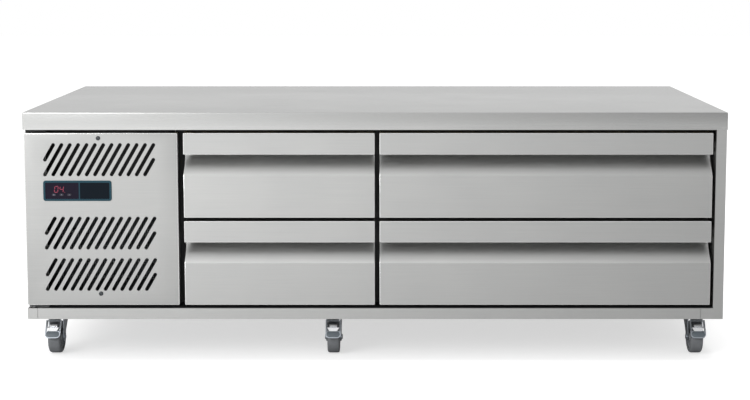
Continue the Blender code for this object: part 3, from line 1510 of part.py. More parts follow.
def make_pedal(name, x, y):
    """A bent lever on its pin: an eye, an arm over the wheel and a sloping pad to step on."""
    pin = Vector((-PEDAL_PIN_FORWARD, PEDAL_PIN_Z))
    knee = Vector((-PEDAL_KNEE_FORWARD, PEDAL_KNEE_Z))
    tip = Vector((-PEDAL_TIP_FORWARD, PEDAL_TIP_Z))
    t = PEDAL_SHEET
    slope = math.atan2(knee.y - tip.y, knee.x - tip.x)
    along = Vector((math.cos(slope), math.sin(slope)))
    inward = Vector((math.sin(slope), -math.cos(slope)))
    arm_outline = [
        pin + Vector((0, PEDAL_EYE_RADIUS)),
        knee + SINK * (along + inward),
        knee - t * along + SINK * inward,
        knee - t * along + (t - SINK) * inward,
        knee + 2 * t * inward,
        pin - Vector((PEDAL_EYE_RADIUS, t / 2)),
        pin,
    ]
    arm = extrusion(
        f"{name}_brake_pedal", [arm_outline], "X", -PEDAL_ARM_HALF_WIDTH, PEDAL_ARM_HALF_WIDTH
    )
    eye = cylinder(
        f"{name}_eye", "X", (0, *pin), PEDAL_EYE_RADIUS, 2 * PEDAL_ARM_HALF_WIDTH - SINK, tool=True
    )
    length = (knee - tip).length
    half, corner = PEDAL_HALF_WIDTH, PEDAL_CORNER
    pad_outline = [
        (-half, 0), (-half, corner - length), (corner - half, -length),
        (half - corner, -length), (half, corner - length), (half, 0),
    ]
    face = extrusion(f"{name}_pad", [pad_outline], "Z", -t, 0, tool=True)
    face.data.transform(Matrix.Translation((0, *knee)) @ Matrix.Rotation(slope, 4, "X"))
    bore = cylinder(
        f"{name}_eye_bore", "X", (0, *pin),
        PEDAL_PIN_RADIUS + PEDAL_EYE_CLEARANCE, 3 * PEDAL_ARM_HALF_WIDTH, tool=True,
    )
    for shape in (arm, eye, face, bore):
        shape.location = (x, y, 0)
    join(arm, eye, face)
    cut(arm, bore)
    return dress(arm, ZINC)


def make_castor(name, x, y, brake):
    fork = make_fork(name, x, y)
    wheel = make_wheel(name, x, y)
    swivel = pivot(f"{name}_castor", (x, y, CASTOR_HEIGHT))
    carry(swivel, fork, wheel)
    if brake:
        pedal = make_pedal(name, x, y)
        hinge = pivot(f"{name}_brake", (x, y - PEDAL_PIN_FORWARD, PEDAL_PIN_Z))
        carry(hinge, pedal)
        carry(swivel, hinge)


def main():
    clear_scene()
    collection("chef_base")
    collection("cutters")
    bays = all_bays()
    room = MachineRoom()
    make_worktop()
    make_outer_shell()
    make_insulation()
    make_liner()
    make_seal_frame(bays)
    make_base_frame()
    make_left_side_panel()
    make_cover()
    make_controller()
    for bay in bays:
        make_drawer(bay)
    make_slide_racks(bays)
    make_tray(room)
    make_condenser(room)
    make_shroud(room)
    make_fan(
        "condenser_fan", "Y", room.fan_centre, FAN_HUB_RADIUS, FAN_HUB_LENGTH, FAN_RADIUS, FAN_CHORD
    )
    make_compressor(room)
    make_rear_grille(room)
    make_suction_line(room)
    make_evaporator(room)
    for name, x, y, brake in castor_places():
        make_castor(name, x, y, brake)


main()
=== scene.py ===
"""Looks of a refrigerated chef base: four drawers and a condensing unit under a worktop, on six castors.

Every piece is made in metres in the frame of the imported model: +X is to the user's right, -Y faces the user,
+Z is up and the floor is at Z 0.
"""

import logging
import math
from dataclasses import dataclass, field
from enum import Enum
from typing import Any, Iterable, Sequence

import bmesh
import bpy
from mathutils import Matrix, Vector


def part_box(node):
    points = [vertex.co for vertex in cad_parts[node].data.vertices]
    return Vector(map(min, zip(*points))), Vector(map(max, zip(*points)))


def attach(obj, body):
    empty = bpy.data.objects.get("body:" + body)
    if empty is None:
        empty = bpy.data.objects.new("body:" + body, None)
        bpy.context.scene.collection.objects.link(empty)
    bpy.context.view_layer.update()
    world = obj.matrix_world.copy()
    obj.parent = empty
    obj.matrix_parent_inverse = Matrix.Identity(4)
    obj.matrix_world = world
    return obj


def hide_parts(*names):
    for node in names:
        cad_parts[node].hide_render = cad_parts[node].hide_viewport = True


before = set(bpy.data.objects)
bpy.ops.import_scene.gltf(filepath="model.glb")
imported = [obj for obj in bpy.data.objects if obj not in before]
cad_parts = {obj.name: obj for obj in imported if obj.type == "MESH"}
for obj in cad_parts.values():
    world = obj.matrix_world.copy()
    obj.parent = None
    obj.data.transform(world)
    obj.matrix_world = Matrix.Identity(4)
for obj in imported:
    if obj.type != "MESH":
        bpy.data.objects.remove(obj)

LOG = logging.getLogger("chef_base")
Point = tuple[float, float]
MM = 0.001
# The angle in degrees past which an edge stays sharp, and past which it is rounded.
SHARP = 35
# How much the fine marks and the broad patches count in a finish's colour and shine, and in its relief.
FINE_SHARE, BROAD_SHARE, RELIEF = 0.6, 0.4, 0.5


class Axis(Enum):
    """The direction that a drawing is pulled or turned along. Each value orders (u, v, w) as X, Y and Z."""

    X = (2, 0, 1)
    Y = (0, 2, 1)
    Z = (0, 1, 2)

    def point(self, u: float, v: float, w: float) -> Vector:
        """The point at (u, v) in the drawing and w along the axis."""
        values = (u, v, w)
        return Vector([values[index] for index in self.value])


class Grain(Enum):
    """The way that a finish's marks run, as the share of their length that they take along X, Y and Z."""

    ALONG_X = (1, 0, 0)
    ALONG_Y = (0, 1, 0)
    ALONG_Z = (0, 0, 1)
    EVEN = (0, 0, 0)


class Marks(Enum):
    """The kind of fine pattern that a finish shows."""

    LINES = "ShaderNodeTexNoise"
    SPECKS = "ShaderNodeTexNoise"
    CELLS = "ShaderNodeTexVoronoi"


def linear(colour: str) -> tuple[float, float, float, float]:
    """Turns an sRGB hex colour to the linear colour that a shader takes.

    Args:
        colour: The colour as #RRGGBB.

    Returns:
        Red, green, blue and an alpha of 1.
    """
    parts = [int(colour[index:index + 2], 16) / 255 for index in (1, 3, 5)]
    red, green, blue = [
        part / 12.92 if part <= 0.04045 else ((part + 0.055) / 1.055) ** 2.4 for part in parts
    ]
    return red, green, blue, 1.0


def add_node(
    tree: bpy.types.NodeTree, kind: str, inputs: dict | None = None, **settings: Any
) -> bpy.types.Node:
    """Adds a node to a tree, sets its properties, and fills or links its inputs.

    Args:
        tree: The tree that the node goes in.
        kind: Blender's name for the node's type.
        inputs: A value or another node's output for each input's name or number.
        **settings: The node's own properties.

    Returns:
        The new node.
    """
    node = tree.nodes.new(kind)
    for name, value in settings.items():
        setattr(node, name, value)
    for key, value in (inputs or {}).items():
        if isinstance(value, bpy.types.NodeSocket):
            tree.links.new(value, node.inputs[key])
        else:
            node.inputs[key].default_value = value
    return node


@dataclass(frozen=True)
class Finish:
    """A surface finish: what it is made of, how it shines, and the marks that it shows.

    The marks' length and width and the broad patches' size are in millimetres.
    """

    name: str
    slot: str
    colour: str
    second: str
    roughness: float
    spread: float = 0.04
    metallic: float = 0.0
    marks: Marks = Marks.SPECKS
    length: float = 1.0
    width: float = 1.0
    patches: float = 90.0
    bump: float = 0.02
    coat: float = 0.0
    glow: float = 0.0
    gloss: float = 0.5

    def material(self, grain: Grain = Grain.EVEN) -> bpy.types.Material:
        """Makes the finish's material, or finds the one that was made before.

        Args:
            grain: The way that the marks run on the piece.

        Returns:
            The material.
        """
        name = self.name if grain is Grain.EVEN else f"{self.name}_{grain.name.lower()}"
        made = bpy.data.materials.get(name)
        if made:
            return made
        made = bpy.data.materials.new(name)
        made.use_nodes = True
        tree = made.node_tree
        surface = tree.nodes["Principled BSDF"]
        surface.inputs["Metallic"].default_value = self.metallic
        surface.inputs["Coat Weight"].default_value = self.coat
        surface.inputs["Coat Roughness"].default_value = 0.08
        surface.inputs["Specular IOR Level"].default_value = 0.5 if self.metallic else self.gloss
        place = add_node(tree, "ShaderNodeTexCoord").outputs["Object"]
        sizes = [(self.length if share else self.width) * MM for share in grain.value]
        turned = add_node(tree, "ShaderNodeMapping", {"Vector": place, "Scale": [1 / size for size in sizes]})
        fine = add_node(tree, self.marks.value, {"Vector": turned.outputs[0], "Scale": 1.0})
        if self.marks is Marks.CELLS:
            fine_value = add_node(tree, "ShaderNodeSeparateColor", {0: fine.outputs["Color"]}).outputs[0]
        else:
            fine.inputs["Detail"].default_value = 3.0
            fine_value = fine.outputs[0]
        broad = add_node(
            tree, "ShaderNodeTexNoise", {"Vector": place, "Scale": 1 / (self.patches * MM), "Detail": 2.0}
        ).outputs[0]
        blend = add_node(tree, "ShaderNodeMath", {0: fine_value, 1: FINE_SHARE}, operation="MULTIPLY")
        blend = add_node(
            tree, "ShaderNodeMath", {0: broad, 1: BROAD_SHARE, 2: blend.outputs[0]}, operation="MULTIPLY_ADD"
        ).outputs[0]
        colour = add_node(
            tree, "ShaderNodeMix",
            {"Factor": blend, 6: linear(self.colour), 7: linear(self.second)}, data_type="RGBA",
        ).outputs[2]
        shine = add_node(
            tree, "ShaderNodeMapRange",
            {0: blend, 1: 0.3, 2: 0.7, 3: self.roughness - self.spread, 4: self.roughness + self.spread},
        ).outputs[0]
        relief = add_node(
            tree, "ShaderNodeBump", {"Height": fine_value, "Distance": self.bump * MM, "Strength": RELIEF}
        )
        tree.links.new(colour, surface.inputs["Base Color"])
        tree.links.new(shine, surface.inputs["Roughness"])
        tree.links.new(relief.outputs[0], surface.inputs["Normal"])
        if self.glow:
            surface.inputs["Emission Color"].default_value = linear(self.colour)
            surface.inputs["Emission Strength"].default_value = self.glow
        return made


# 18/10 stainless sheet with a belt-brushed face: long fine lines, a soft streaked shine and faint smudges.
# The real lines are about 0.1 mm wide, and are drawn 1.6 mm wide so that they show.
STAINLESS = Finish(
    "brushed_stainless_steel", "stainless", "#C6C6C4", "#B7B8B8", 0.34, 0.05, 1.0, Marks.LINES, 140, 1.6,
    160, 0.012
)
# The same sheet on the worktop, smoothed by wiping.
WORKTOP_STEEL = Finish(
    "brushed_stainless_steel_worktop", "stainless", "#C6C6C4", "#BABBBB", 0.24, 0.04, 1.0, Marks.LINES,
    150, 1.6, 160, 0.010
)
# The same sheet on the machine cover, in a darker colour: painted shade that holds the cover down where the
# light from the left falls brightest.
SHADED_COVER_STEEL = Finish(
    "brushed_stainless_steel_cover", "stainless", "#BDBDBB", "#AEAFAF", 0.36, 0.05, 1.0, Marks.LINES,
    120, 1.6, 130, 0.012
)
# Painted highlight: the same sheet on its rounded edges, brighter and with no brushing, standing in for the
# light that the rounding catches.
HIGHLIGHT_EDGE_STEEL = Finish(
    "burnished_steel_edge", "stainless", "#F2F2F0", "#E6E7E7", 0.26, 0.03, 1.0, Marks.SPECKS, 1.0, 1.0,
    60, 0.004
)
# Cold-rolled 2B stainless inside the cabinet: a cloudy satin with no lines.
SATIN_STEEL = Finish(
    "satin_stainless_steel", "stainless", "#C2C3C3", "#B2B4B5", 0.42, 0.05, 1.0, Marks.SPECKS, 2.5, 2.5,
    120, 0.01
)
# Hot-dip galvanised sheet: pale and dull crystals about 8 mm across.
GALVANISED = Finish(
    "galvanised_steel", "galvanised", "#B4B8BA", "#8E9496", 0.46, 0.08, 1.0, Marks.CELLS, 8, 8, 60, 0.004
)
# Bright zinc plate on pressed castor parts: blue-grey, a little cloudy.
ZINC = Finish(
    "zinc_plated_steel", "zinc", "#C3C8CE", "#A4ABB3", 0.30, 0.07, 1.0, Marks.SPECKS, 1.2, 1.2, 14, 0.01
)
# The same plate on the pedal's stamped face, in a much brighter colour.
BRIGHT_ZINC = Finish(
    "buffed_zinc_plate", "zinc", "#F4F5F6", "#E9EBEE", 0.24, 0.05, 1.0, Marks.SPECKS, 1.2, 1.2, 14, 0.01
)
# Blue-grey powder coat on the brake pads: a fine orange peel.
PAD_COAT = Finish(
    "grey_pedal_coat", "zinc", "#666F76", "#596167", 0.45, 0.05, 0.0, Marks.SPECKS, 0.9, 0.9, 12, 0.03
)
# Rigid polyurethane foam, cut: cream, with small open cells.
FOAM = Finish(
    "polyurethane_foam", "foam", "#DCCF9F", "#C4B27C", 0.92, 0.04, 0.0, Marks.CELLS, 1.4, 1.4, 40, 0.3
)
# Moulded polystyrene bead foam of the evaporator box, dyed dark grey.
BEAD_FOAM = Finish(
    "moulded_bead_foam", "foam_moulding", "#34363A", "#222428", 0.85, 0.05, 0.0, Marks.CELLS, 3.2, 3.2,
    50, 0.2
)
# Black ABS with a fine spark texture from the mould.
BLACK_ABS = Finish(
    "black_abs", "black_plastic", "#191A1B", "#111213", 0.52, 0.06, 0.0, Marks.SPECKS, 0.7, 0.7, 40, 0.03
)
# Grey thermoplastic rubber tread: matt, dusty where it rolls.
TREAD = Finish(
    "grey_tread_rubber", "tread_rubber", "#7E8083", "#686B6E", 0.72, 0.06, 0.0, Marks.SPECKS, 1.0, 1.0,
    11, 0.05
)
# Grey nylon wheel centre, moulded.
NYLON = Finish(
    "grey_nylon", "tread_rubber", "#8C8F92", "#7C7F83", 0.48, 0.05, 0.0, Marks.SPECKS, 0.6, 0.6, 12, 0.02
)
# A grey for painted shade on the side panel's flange in the gap below the cover.
SHADE_GREY_STRIP = Finish(
    "grey_cellular_tape", "seal_rubber", "#868789", "#77787A", 0.80, 0.05, 0.0, Marks.SPECKS, 0.9, 0.9,
    30, 0.05
)
# Extruded black vinyl seal: soft sheen with fine lines along it.
SEAL = Finish(
    "black_vinyl_seal", "seal_rubber", "#161617", "#0E0E0F", 0.58, 0.06, 0.0, Marks.SPECKS, 0.8, 0.8, 60,
    0.03
)
# Silicone key tops.
KEY_RUBBER = Finish(
    "dark_silicone_key", "seal_rubber", "#2B2735", "#211E2A", 0.50, 0.05, 0.0, Marks.SPECKS, 0.5, 0.5, 9,
    0.02
)
# Glossy teal polycarbonate of the controller's rim.
TEAL = Finish(
    "teal_polycarbonate", "teal_plastic", "#1A4654", "#143A46", 0.30, 0.04, 0.0, Marks.SPECKS, 0.8, 0.8,
    30, 0.01, gloss=0.25
)
# Smoked purple acrylic window over the digits.
SMOKED = Finish(
    "smoked_acrylic", "teal_plastic", "#1E1829", "#171321", 0.22, 0.03, 0.0, Marks.SPECKS, 2, 2, 40,
    0.004, gloss=0.10
)
# Printed navy film under clear acrylic.
NAVY = Finish(
    "navy_film", "teal_plastic", "#08151F", "#061019", 0.24, 0.03, 0.0, Marks.SPECKS, 2, 2, 40, 0.004,
    gloss=0.10
)
# Red light-emitting segments, seen through the smoked window.
RED_LIGHT = Finish(
    "red_segments", "teal_plastic", "#96344A", "#842D43", 0.35, 0.03, 0.0, Marks.SPECKS, 0.6, 0.6, 6,
    0.0, 0, 0.22
)
# Pale printed symbols.
PRINT = Finish(
    "pale_print", "teal_plastic", "#8E8AA0", "#7D7990", 0.45, 0.04, 0.0, Marks.SPECKS, 0.5, 0.5, 6, 0.0
)
# Black stoved enamel on the compressor's shell.
ENAMEL = Finish(
    "black_enamel", "black_enamel", "#1C1C1D", "#131314", 0.36, 0.05, 0.0, Marks.SPECKS, 2.2, 2.2, 50, 0.04
)
# Thin aluminium fins, edge on.
FINS = Finish(
    "aluminium_fins", "aluminium", "#C4C6C8", "#AEB1B4", 0.40, 0.06, 1.0, Marks.LINES, 40, 1.2, 40, 0.01
)
# The same fins and their tubes in a dark grey: painted shade, so that the coil seen through the cover's slots
# stays dark.
SHADE_DARK_FINS = Finish(
    "black_painted_fins", "black_enamel", "#4E4F50", "#3E3F40", 0.70, 0.06, 0.0, Marks.LINES, 40, 1.2,
    40, 0.02
)
# Drawn copper tube: warm, with a brown bloom near the joints.
COPPER = Finish(
    "copper_tube", "copper", "#C98A63", "#A9684A", 0.30, 0.07, 1.0, Marks.SPECKS, 2.0, 2.0, 30, 0.006
)
# Dark oxide on the cover's socket screws.
BLACKENED = Finish(
    "blackened_steel", "zinc", "#5C5F62", "#46494C", 0.42, 0.06, 1.0, Marks.SPECKS, 0.8, 0.8, 6, 0.01
)


def rounded(low: Point, high: Point, radius: float, steps: int = 5) -> list[Point]:
    """The outline of a rectangle with round corners, anticlockwise.

    Args:
        low: The lower left corner.
        high: The upper right corner.
        radius: The corners' radius.
        steps: How many straight runs make each corner.

    Returns:
        The outline's points.
    """
    corners = (
        (high[0] - radius, high[1] - radius), (low[0] + radius, high[1] - radius),
        (low[0] + radius, low[1] + radius), (high[0] - radius, low[1] + radius),
    )
    points = []
    for quarter, (u, v) in enumerate(corners):
        for step in range(steps + 1):
            turn = math.pi / 2 * (quarter + step / steps)
            points.append((u + radius * math.cos(turn), v + radius * math.sin(turn)))
    return points


def rectangle(low: Point, high: Point) -> list[Point]:
    """The outline of a rectangle from its lower left corner to its upper right one."""
    return [(low[0], low[1]), (high[0], low[1]), (high[0], high[1]), (low[0], high[1])]


def curve(start: Point, first: Point, second: Point, end: Point, steps: int) -> list[Point]:
    """Points of a cubic curve.

    Args:
        start: The curve's first point.
        first: The point that the curve sets out towards.
        second: The point that it comes in from.
        end: The curve's last point.
        steps: How many straight runs make it.

    Returns:
        The points, with the first and the last one.
    """
    points = []
    for step in range(steps + 1):
        t = step / steps
        weights = ((1 - t) ** 3, 3 * t * (1 - t) ** 2, 3 * t * t * (1 - t), t ** 3)
        points.append(tuple(
            sum(weight * place[index] for weight, place in zip(weights, (start, first, second, end)))
            for index in (0, 1)
        ))
    return points


class Shape:
    """A mesh in the frame's metres, each part of which takes one of the piece's finishes, by number."""

    def __init__(self) -> None:
        """Starts an empty mesh."""
        self.mesh = bmesh.new()

    def loft(
        self, loops: Sequence[Sequence[Vector]], number: int = 0, ends: bool = True, around: bool = False
    ) -> None:
        """Joins loops of points by faces, one after another.

        Args:
            loops: The loops, with as many points in each.
            number: The finish's number.
            ends: Whether the first and last loops are closed by a face.
            around: Whether the last loop is joined to the first.
        """
        rings = [[self.mesh.verts.new(point) for point in loop] for loop in loops]
        count = len(rings[0])
        pairs = list(zip(rings, rings[1:])) + ([(rings[-1], rings[0])] if around else [])
        faces = [
            self.mesh.faces.new((a[i], a[(i + 1) % count], b[(i + 1) % count], b[i]))
            for a, b in pairs for i in range(count)
        ]
        if ends and not around:
            faces += [self.mesh.faces.new(rings[0]), self.mesh.faces.new(rings[-1])]
        for face in faces:
            face.material_index = number

    def prism(self, outline: Sequence[Point], axis: Axis, start: float, end: float, number: int = 0) -> None:
        """Pulls a closed outline along an axis.

        Args:
            outline: The outline in the drawing.
            axis: The axis that it is pulled along.
            start: Where it starts on the axis.
            end: Where it ends.
            number: The finish's number.
        """
        self.loft([[axis.point(u, v, w) for u, v in outline] for w in (start, end)], number)

    def box(self, low: Sequence[float], high: Sequence[float], number: int = 0) -> None:
        """Adds a block between two corners."""
        self.prism(rectangle(low, high), Axis.Z, low[2], high[2], number)

    def lathe(
        self, profile: Sequence[Point], axis: Axis, centre: Sequence[float], steps: int = 32, number: int = 0,
        around: bool = False,
    ) -> None:
        """Turns a profile of (radius, height) points round an axis.

        Args:
            profile: The profile, from one end to the other.
            axis: The axis that it turns round.
            centre: The point that the profile's (0, 0) is at.
            steps: How many flats make the round.
            number: The finish's number.
            around: Whether the profile is a closed loop, as on a ring.
        """
        turns = [2 * math.pi * step / steps for step in range(steps)]
        loops = [
            [axis.point(radius * math.cos(t), radius * math.sin(t), height) + Vector(centre) for t in turns]
            for radius, height in profile
        ]
        self.loft(loops, number, ends=not around, around=around)

    def tube(self, points: Sequence[Vector], radius: float, sides: int = 12, number: int = 0) -> None:
        """Runs a round tube along points.

        Args:
            points: The tube's centre line.
            radius: The tube's radius.
            sides: How many flats make the round.
            number: The finish's number.
        """
        points = [Vector(point) for point in points]
        side = (points[1] - points[0]).orthogonal().normalized()
        loops = []
        for index, point in enumerate(points):
            along = (points[min(index + 1, len(points) - 1)] - points[max(index - 1, 0)]).normalized()
            side = (side - side.dot(along) * along).normalized()
            other = along.cross(side)
            loops.append([
                point + radius * (math.cos(t) * side + math.sin(t) * other)
                for t in (2 * math.pi * step / sides for step in range(sides))
            ])
        self.loft(loops, number)

    def add_mesh(self, mesh: bpy.types.Mesh) -> None:
        """Takes in a finished mesh."""
        self.mesh.from_mesh(mesh)

    def move(self, matrix: Matrix) -> "Shape":
        """Moves all that was made so far."""
        bmesh.ops.transform(self.mesh, matrix=matrix, verts=self.mesh.verts)
        return self

    def data(self, name: str, weld: float = 1e-7, sharp: float = SHARP) -> bpy.types.Mesh:
        """Ends the shape as a mesh with its faces outwards.

        Args:
            name: The mesh's name.
            weld: How near two points are made one.
            sharp: The angle in degrees past which an edge stays sharp.

        Returns:
            The mesh.
        """
        bmesh.ops.remove_doubles(self.mesh, verts=self.mesh.verts, dist=weld)
        bmesh.ops.dissolve_degenerate(self.mesh, dist=weld, edges=self.mesh.edges)
        bmesh.ops.recalc_face_normals(self.mesh, faces=self.mesh.faces)
        mesh = bpy.data.meshes.new(name)
        self.mesh.to_mesh(mesh)
        self.mesh.free()
        mesh.shade_smooth()
        mesh.set_sharp_from_angle(angle=math.radians(sharp))
        return mesh


def place_piece(
    name: str, made: bpy.types.Mesh | Shape, body: str,
    finishes: Finish | Sequence[Finish | tuple[Finish, Grain]], replaces: Sequence[str] = (),
    bevel: float = 0.0, segments: int = 2, edge_finish: int = -1,
) -> bpy.types.Object:
    """Puts a finished mesh in the scene as a piece that rides on a body.

    Args:
        name: The piece's name.
        made: Its mesh, in the frame's metres, or the shape that becomes it.
        body: The body that it moves with.
        finishes: Its finishes in the order of their numbers, with the grain of those that have one.
        replaces: The frame's nodes that it stands for.
        bevel: The width of the rounding along its sharp edges.
        segments: How many flats make that rounding.
        edge_finish: The number of the finish on that rounding, or -1 for the finish of the faces beside it.

    Returns:
        The piece.
    """
    mesh = made.data(name) if isinstance(made, Shape) else made
    finishes = [finishes] if isinstance(finishes, Finish) else finishes
    pairs = [(finish, Grain.EVEN) if isinstance(finish, Finish) else finish for finish in finishes]
    piece = bpy.data.objects.new(name, mesh)
    bpy.context.scene.collection.objects.link(piece)
    numbers = [face.material_index for face in mesh.polygons]
    mesh.materials.clear()
    for finish, grain in pairs:
        mesh.materials.append(finish.material(grain))
    mesh.polygons.foreach_set("material_index", numbers)
    if bevel:
        edge = piece.modifiers.new("edges", "BEVEL")
        edge.width = bevel
        edge.segments = segments
        edge.limit_method = "ANGLE"
        edge.angle_limit = math.radians(SHARP)
        edge.harden_normals = True
        edge.material = edge_finish
    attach(piece, body)
    if replaces:
        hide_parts(*replaces)
    LOG.info("%s: %d faces on %s", name, len(mesh.polygons), body)
    return piece


class Recipe:
    """A Geometry Nodes tree with named inputs. Running it gives a plain mesh."""

    def __init__(self, name: str, inputs: dict[str, str]) -> None:
        """Starts a tree.

        Args:
            name: The tree's name.
            inputs: The kind of each named input, such as Float, Int, Vector, Object or Material.
        """
        self.tree = bpy.data.node_groups.new(name, "GeometryNodeTree")
        self.tree.interface.new_socket("Geometry", in_out="OUTPUT", socket_type="NodeSocketGeometry")
        self.tree.interface.new_socket("Geometry", in_out="INPUT", socket_type="NodeSocketGeometry")
        self.keys = {
            label: self.tree.interface.new_socket(
                label, in_out="INPUT", socket_type=f"NodeSocket{kind}"
            ).identifier
            for label, kind in inputs.items()
        }
        self.start = self.tree.nodes.new("NodeGroupInput")

    def get(self, label: str) -> bpy.types.NodeSocket:
        """The output of a named input."""
        return self.start.outputs[label]

    def add(self, kind: str, inputs: dict | None = None, **settings: Any) -> bpy.types.NodeSocket:
        """Adds a geometry node, and gives its first output."""
        return add_node(self.tree, kind, inputs, **settings).outputs[0]

    def end(self, geometry: bpy.types.NodeSocket) -> None:
        """Ends the tree by making its instances real and setting their material.

        Args:
            geometry: What the tree has made.
        """
        real = self.add("GeometryNodeRealizeInstances", {0: geometry})
        dressed = self.add("GeometryNodeSetMaterial", {0: real, "Material": self.get("Material")})
        add_node(self.tree, "NodeGroupOutput", {0: dressed})

    def run(self, values: dict[str, Any], start: bpy.types.Mesh | None = None) -> bpy.types.Mesh:
        """Runs the tree once.

        Args:
            values: A value for each named input.
            start: The mesh that the tree starts from, or nothing.

        Returns:
            The result as a plain mesh.
        """
        holder = bpy.data.objects.new("recipe", start or bpy.data.meshes.new("empty"))
        bpy.context.scene.collection.objects.link(holder)
        step = holder.modifiers.new("recipe", "NODES")
        step.node_group = self.tree
        for label, value in values.items():
            step[self.keys[label]] = value
        bpy.context.view_layer.update()
        made = bpy.data.meshes.new_from_object(holder.evaluated_get(bpy.context.evaluated_depsgraph_get()))
        bpy.data.objects.remove(holder)
        return made


def scatter_recipe() -> Recipe:
    """Copies of a part at points, each with its +Z turned to Facing, such as screws in a sheet.

    Returns:
        The tree.
    """
    recipe = Recipe("scattered_part", {"Part": "Object", "Facing": "Vector", "Material": "Material"})
    part = add_node(recipe.tree, "GeometryNodeObjectInfo", {0: recipe.get("Part")}).outputs["Geometry"]
    turn = recipe.add("FunctionNodeAlignRotationToVector", {"Vector": recipe.get("Facing")}, axis="Z")
    copies = recipe.add(
        "GeometryNodeInstanceOnPoints", {"Points": recipe.get("Geometry"), "Instance": part, "Rotation": turn}
    )
    recipe.end(copies)
    return recipe


def row_recipe() -> Recipe:
    """A straight row of a part, such as fins.

    Returns:
        The tree.
    """
    inputs = {"Part": "Object", "Count": "Int", "Step": "Vector", "Material": "Material"}
    recipe = Recipe("row_of_parts", inputs)
    part = add_node(recipe.tree, "GeometryNodeObjectInfo", {0: recipe.get("Part")}).outputs["Geometry"]
    row = recipe.add(
        "GeometryNodeMeshLine", {"Count": recipe.get("Count"), "Offset": recipe.get("Step")}
    )
    recipe.end(recipe.add("GeometryNodeInstanceOnPoints", {"Points": row, "Instance": part}))
    return recipe


def ring_recipe() -> Recipe:
    """A ring of a part round the Z axis, such as blades or spokes.

    Returns:
        The tree.
    """
    recipe = Recipe("ring_of_parts", {"Part": "Object", "Count": "Int", "Material": "Material"})
    part = add_node(recipe.tree, "GeometryNodeObjectInfo", {0: recipe.get("Part")}).outputs["Geometry"]
    row = recipe.add(
        "GeometryNodeMeshLine", {"Count": recipe.get("Count"), "Offset": (0.0, 0.0, 0.0)}
    )
    index = recipe.add("GeometryNodeInputIndex")
    share = recipe.add("ShaderNodeMath", {0: index, 1: recipe.get("Count")}, operation="DIVIDE")
    turn = recipe.add("ShaderNodeMath", {0: share, 1: 2 * math.pi}, operation="MULTIPLY")
    spin = recipe.add("ShaderNodeCombineXYZ", {2: turn})
    ring = {"Points": row, "Instance": part, "Rotation": spin}
    recipe.end(recipe.add("GeometryNodeInstanceOnPoints", ring))
    return recipe


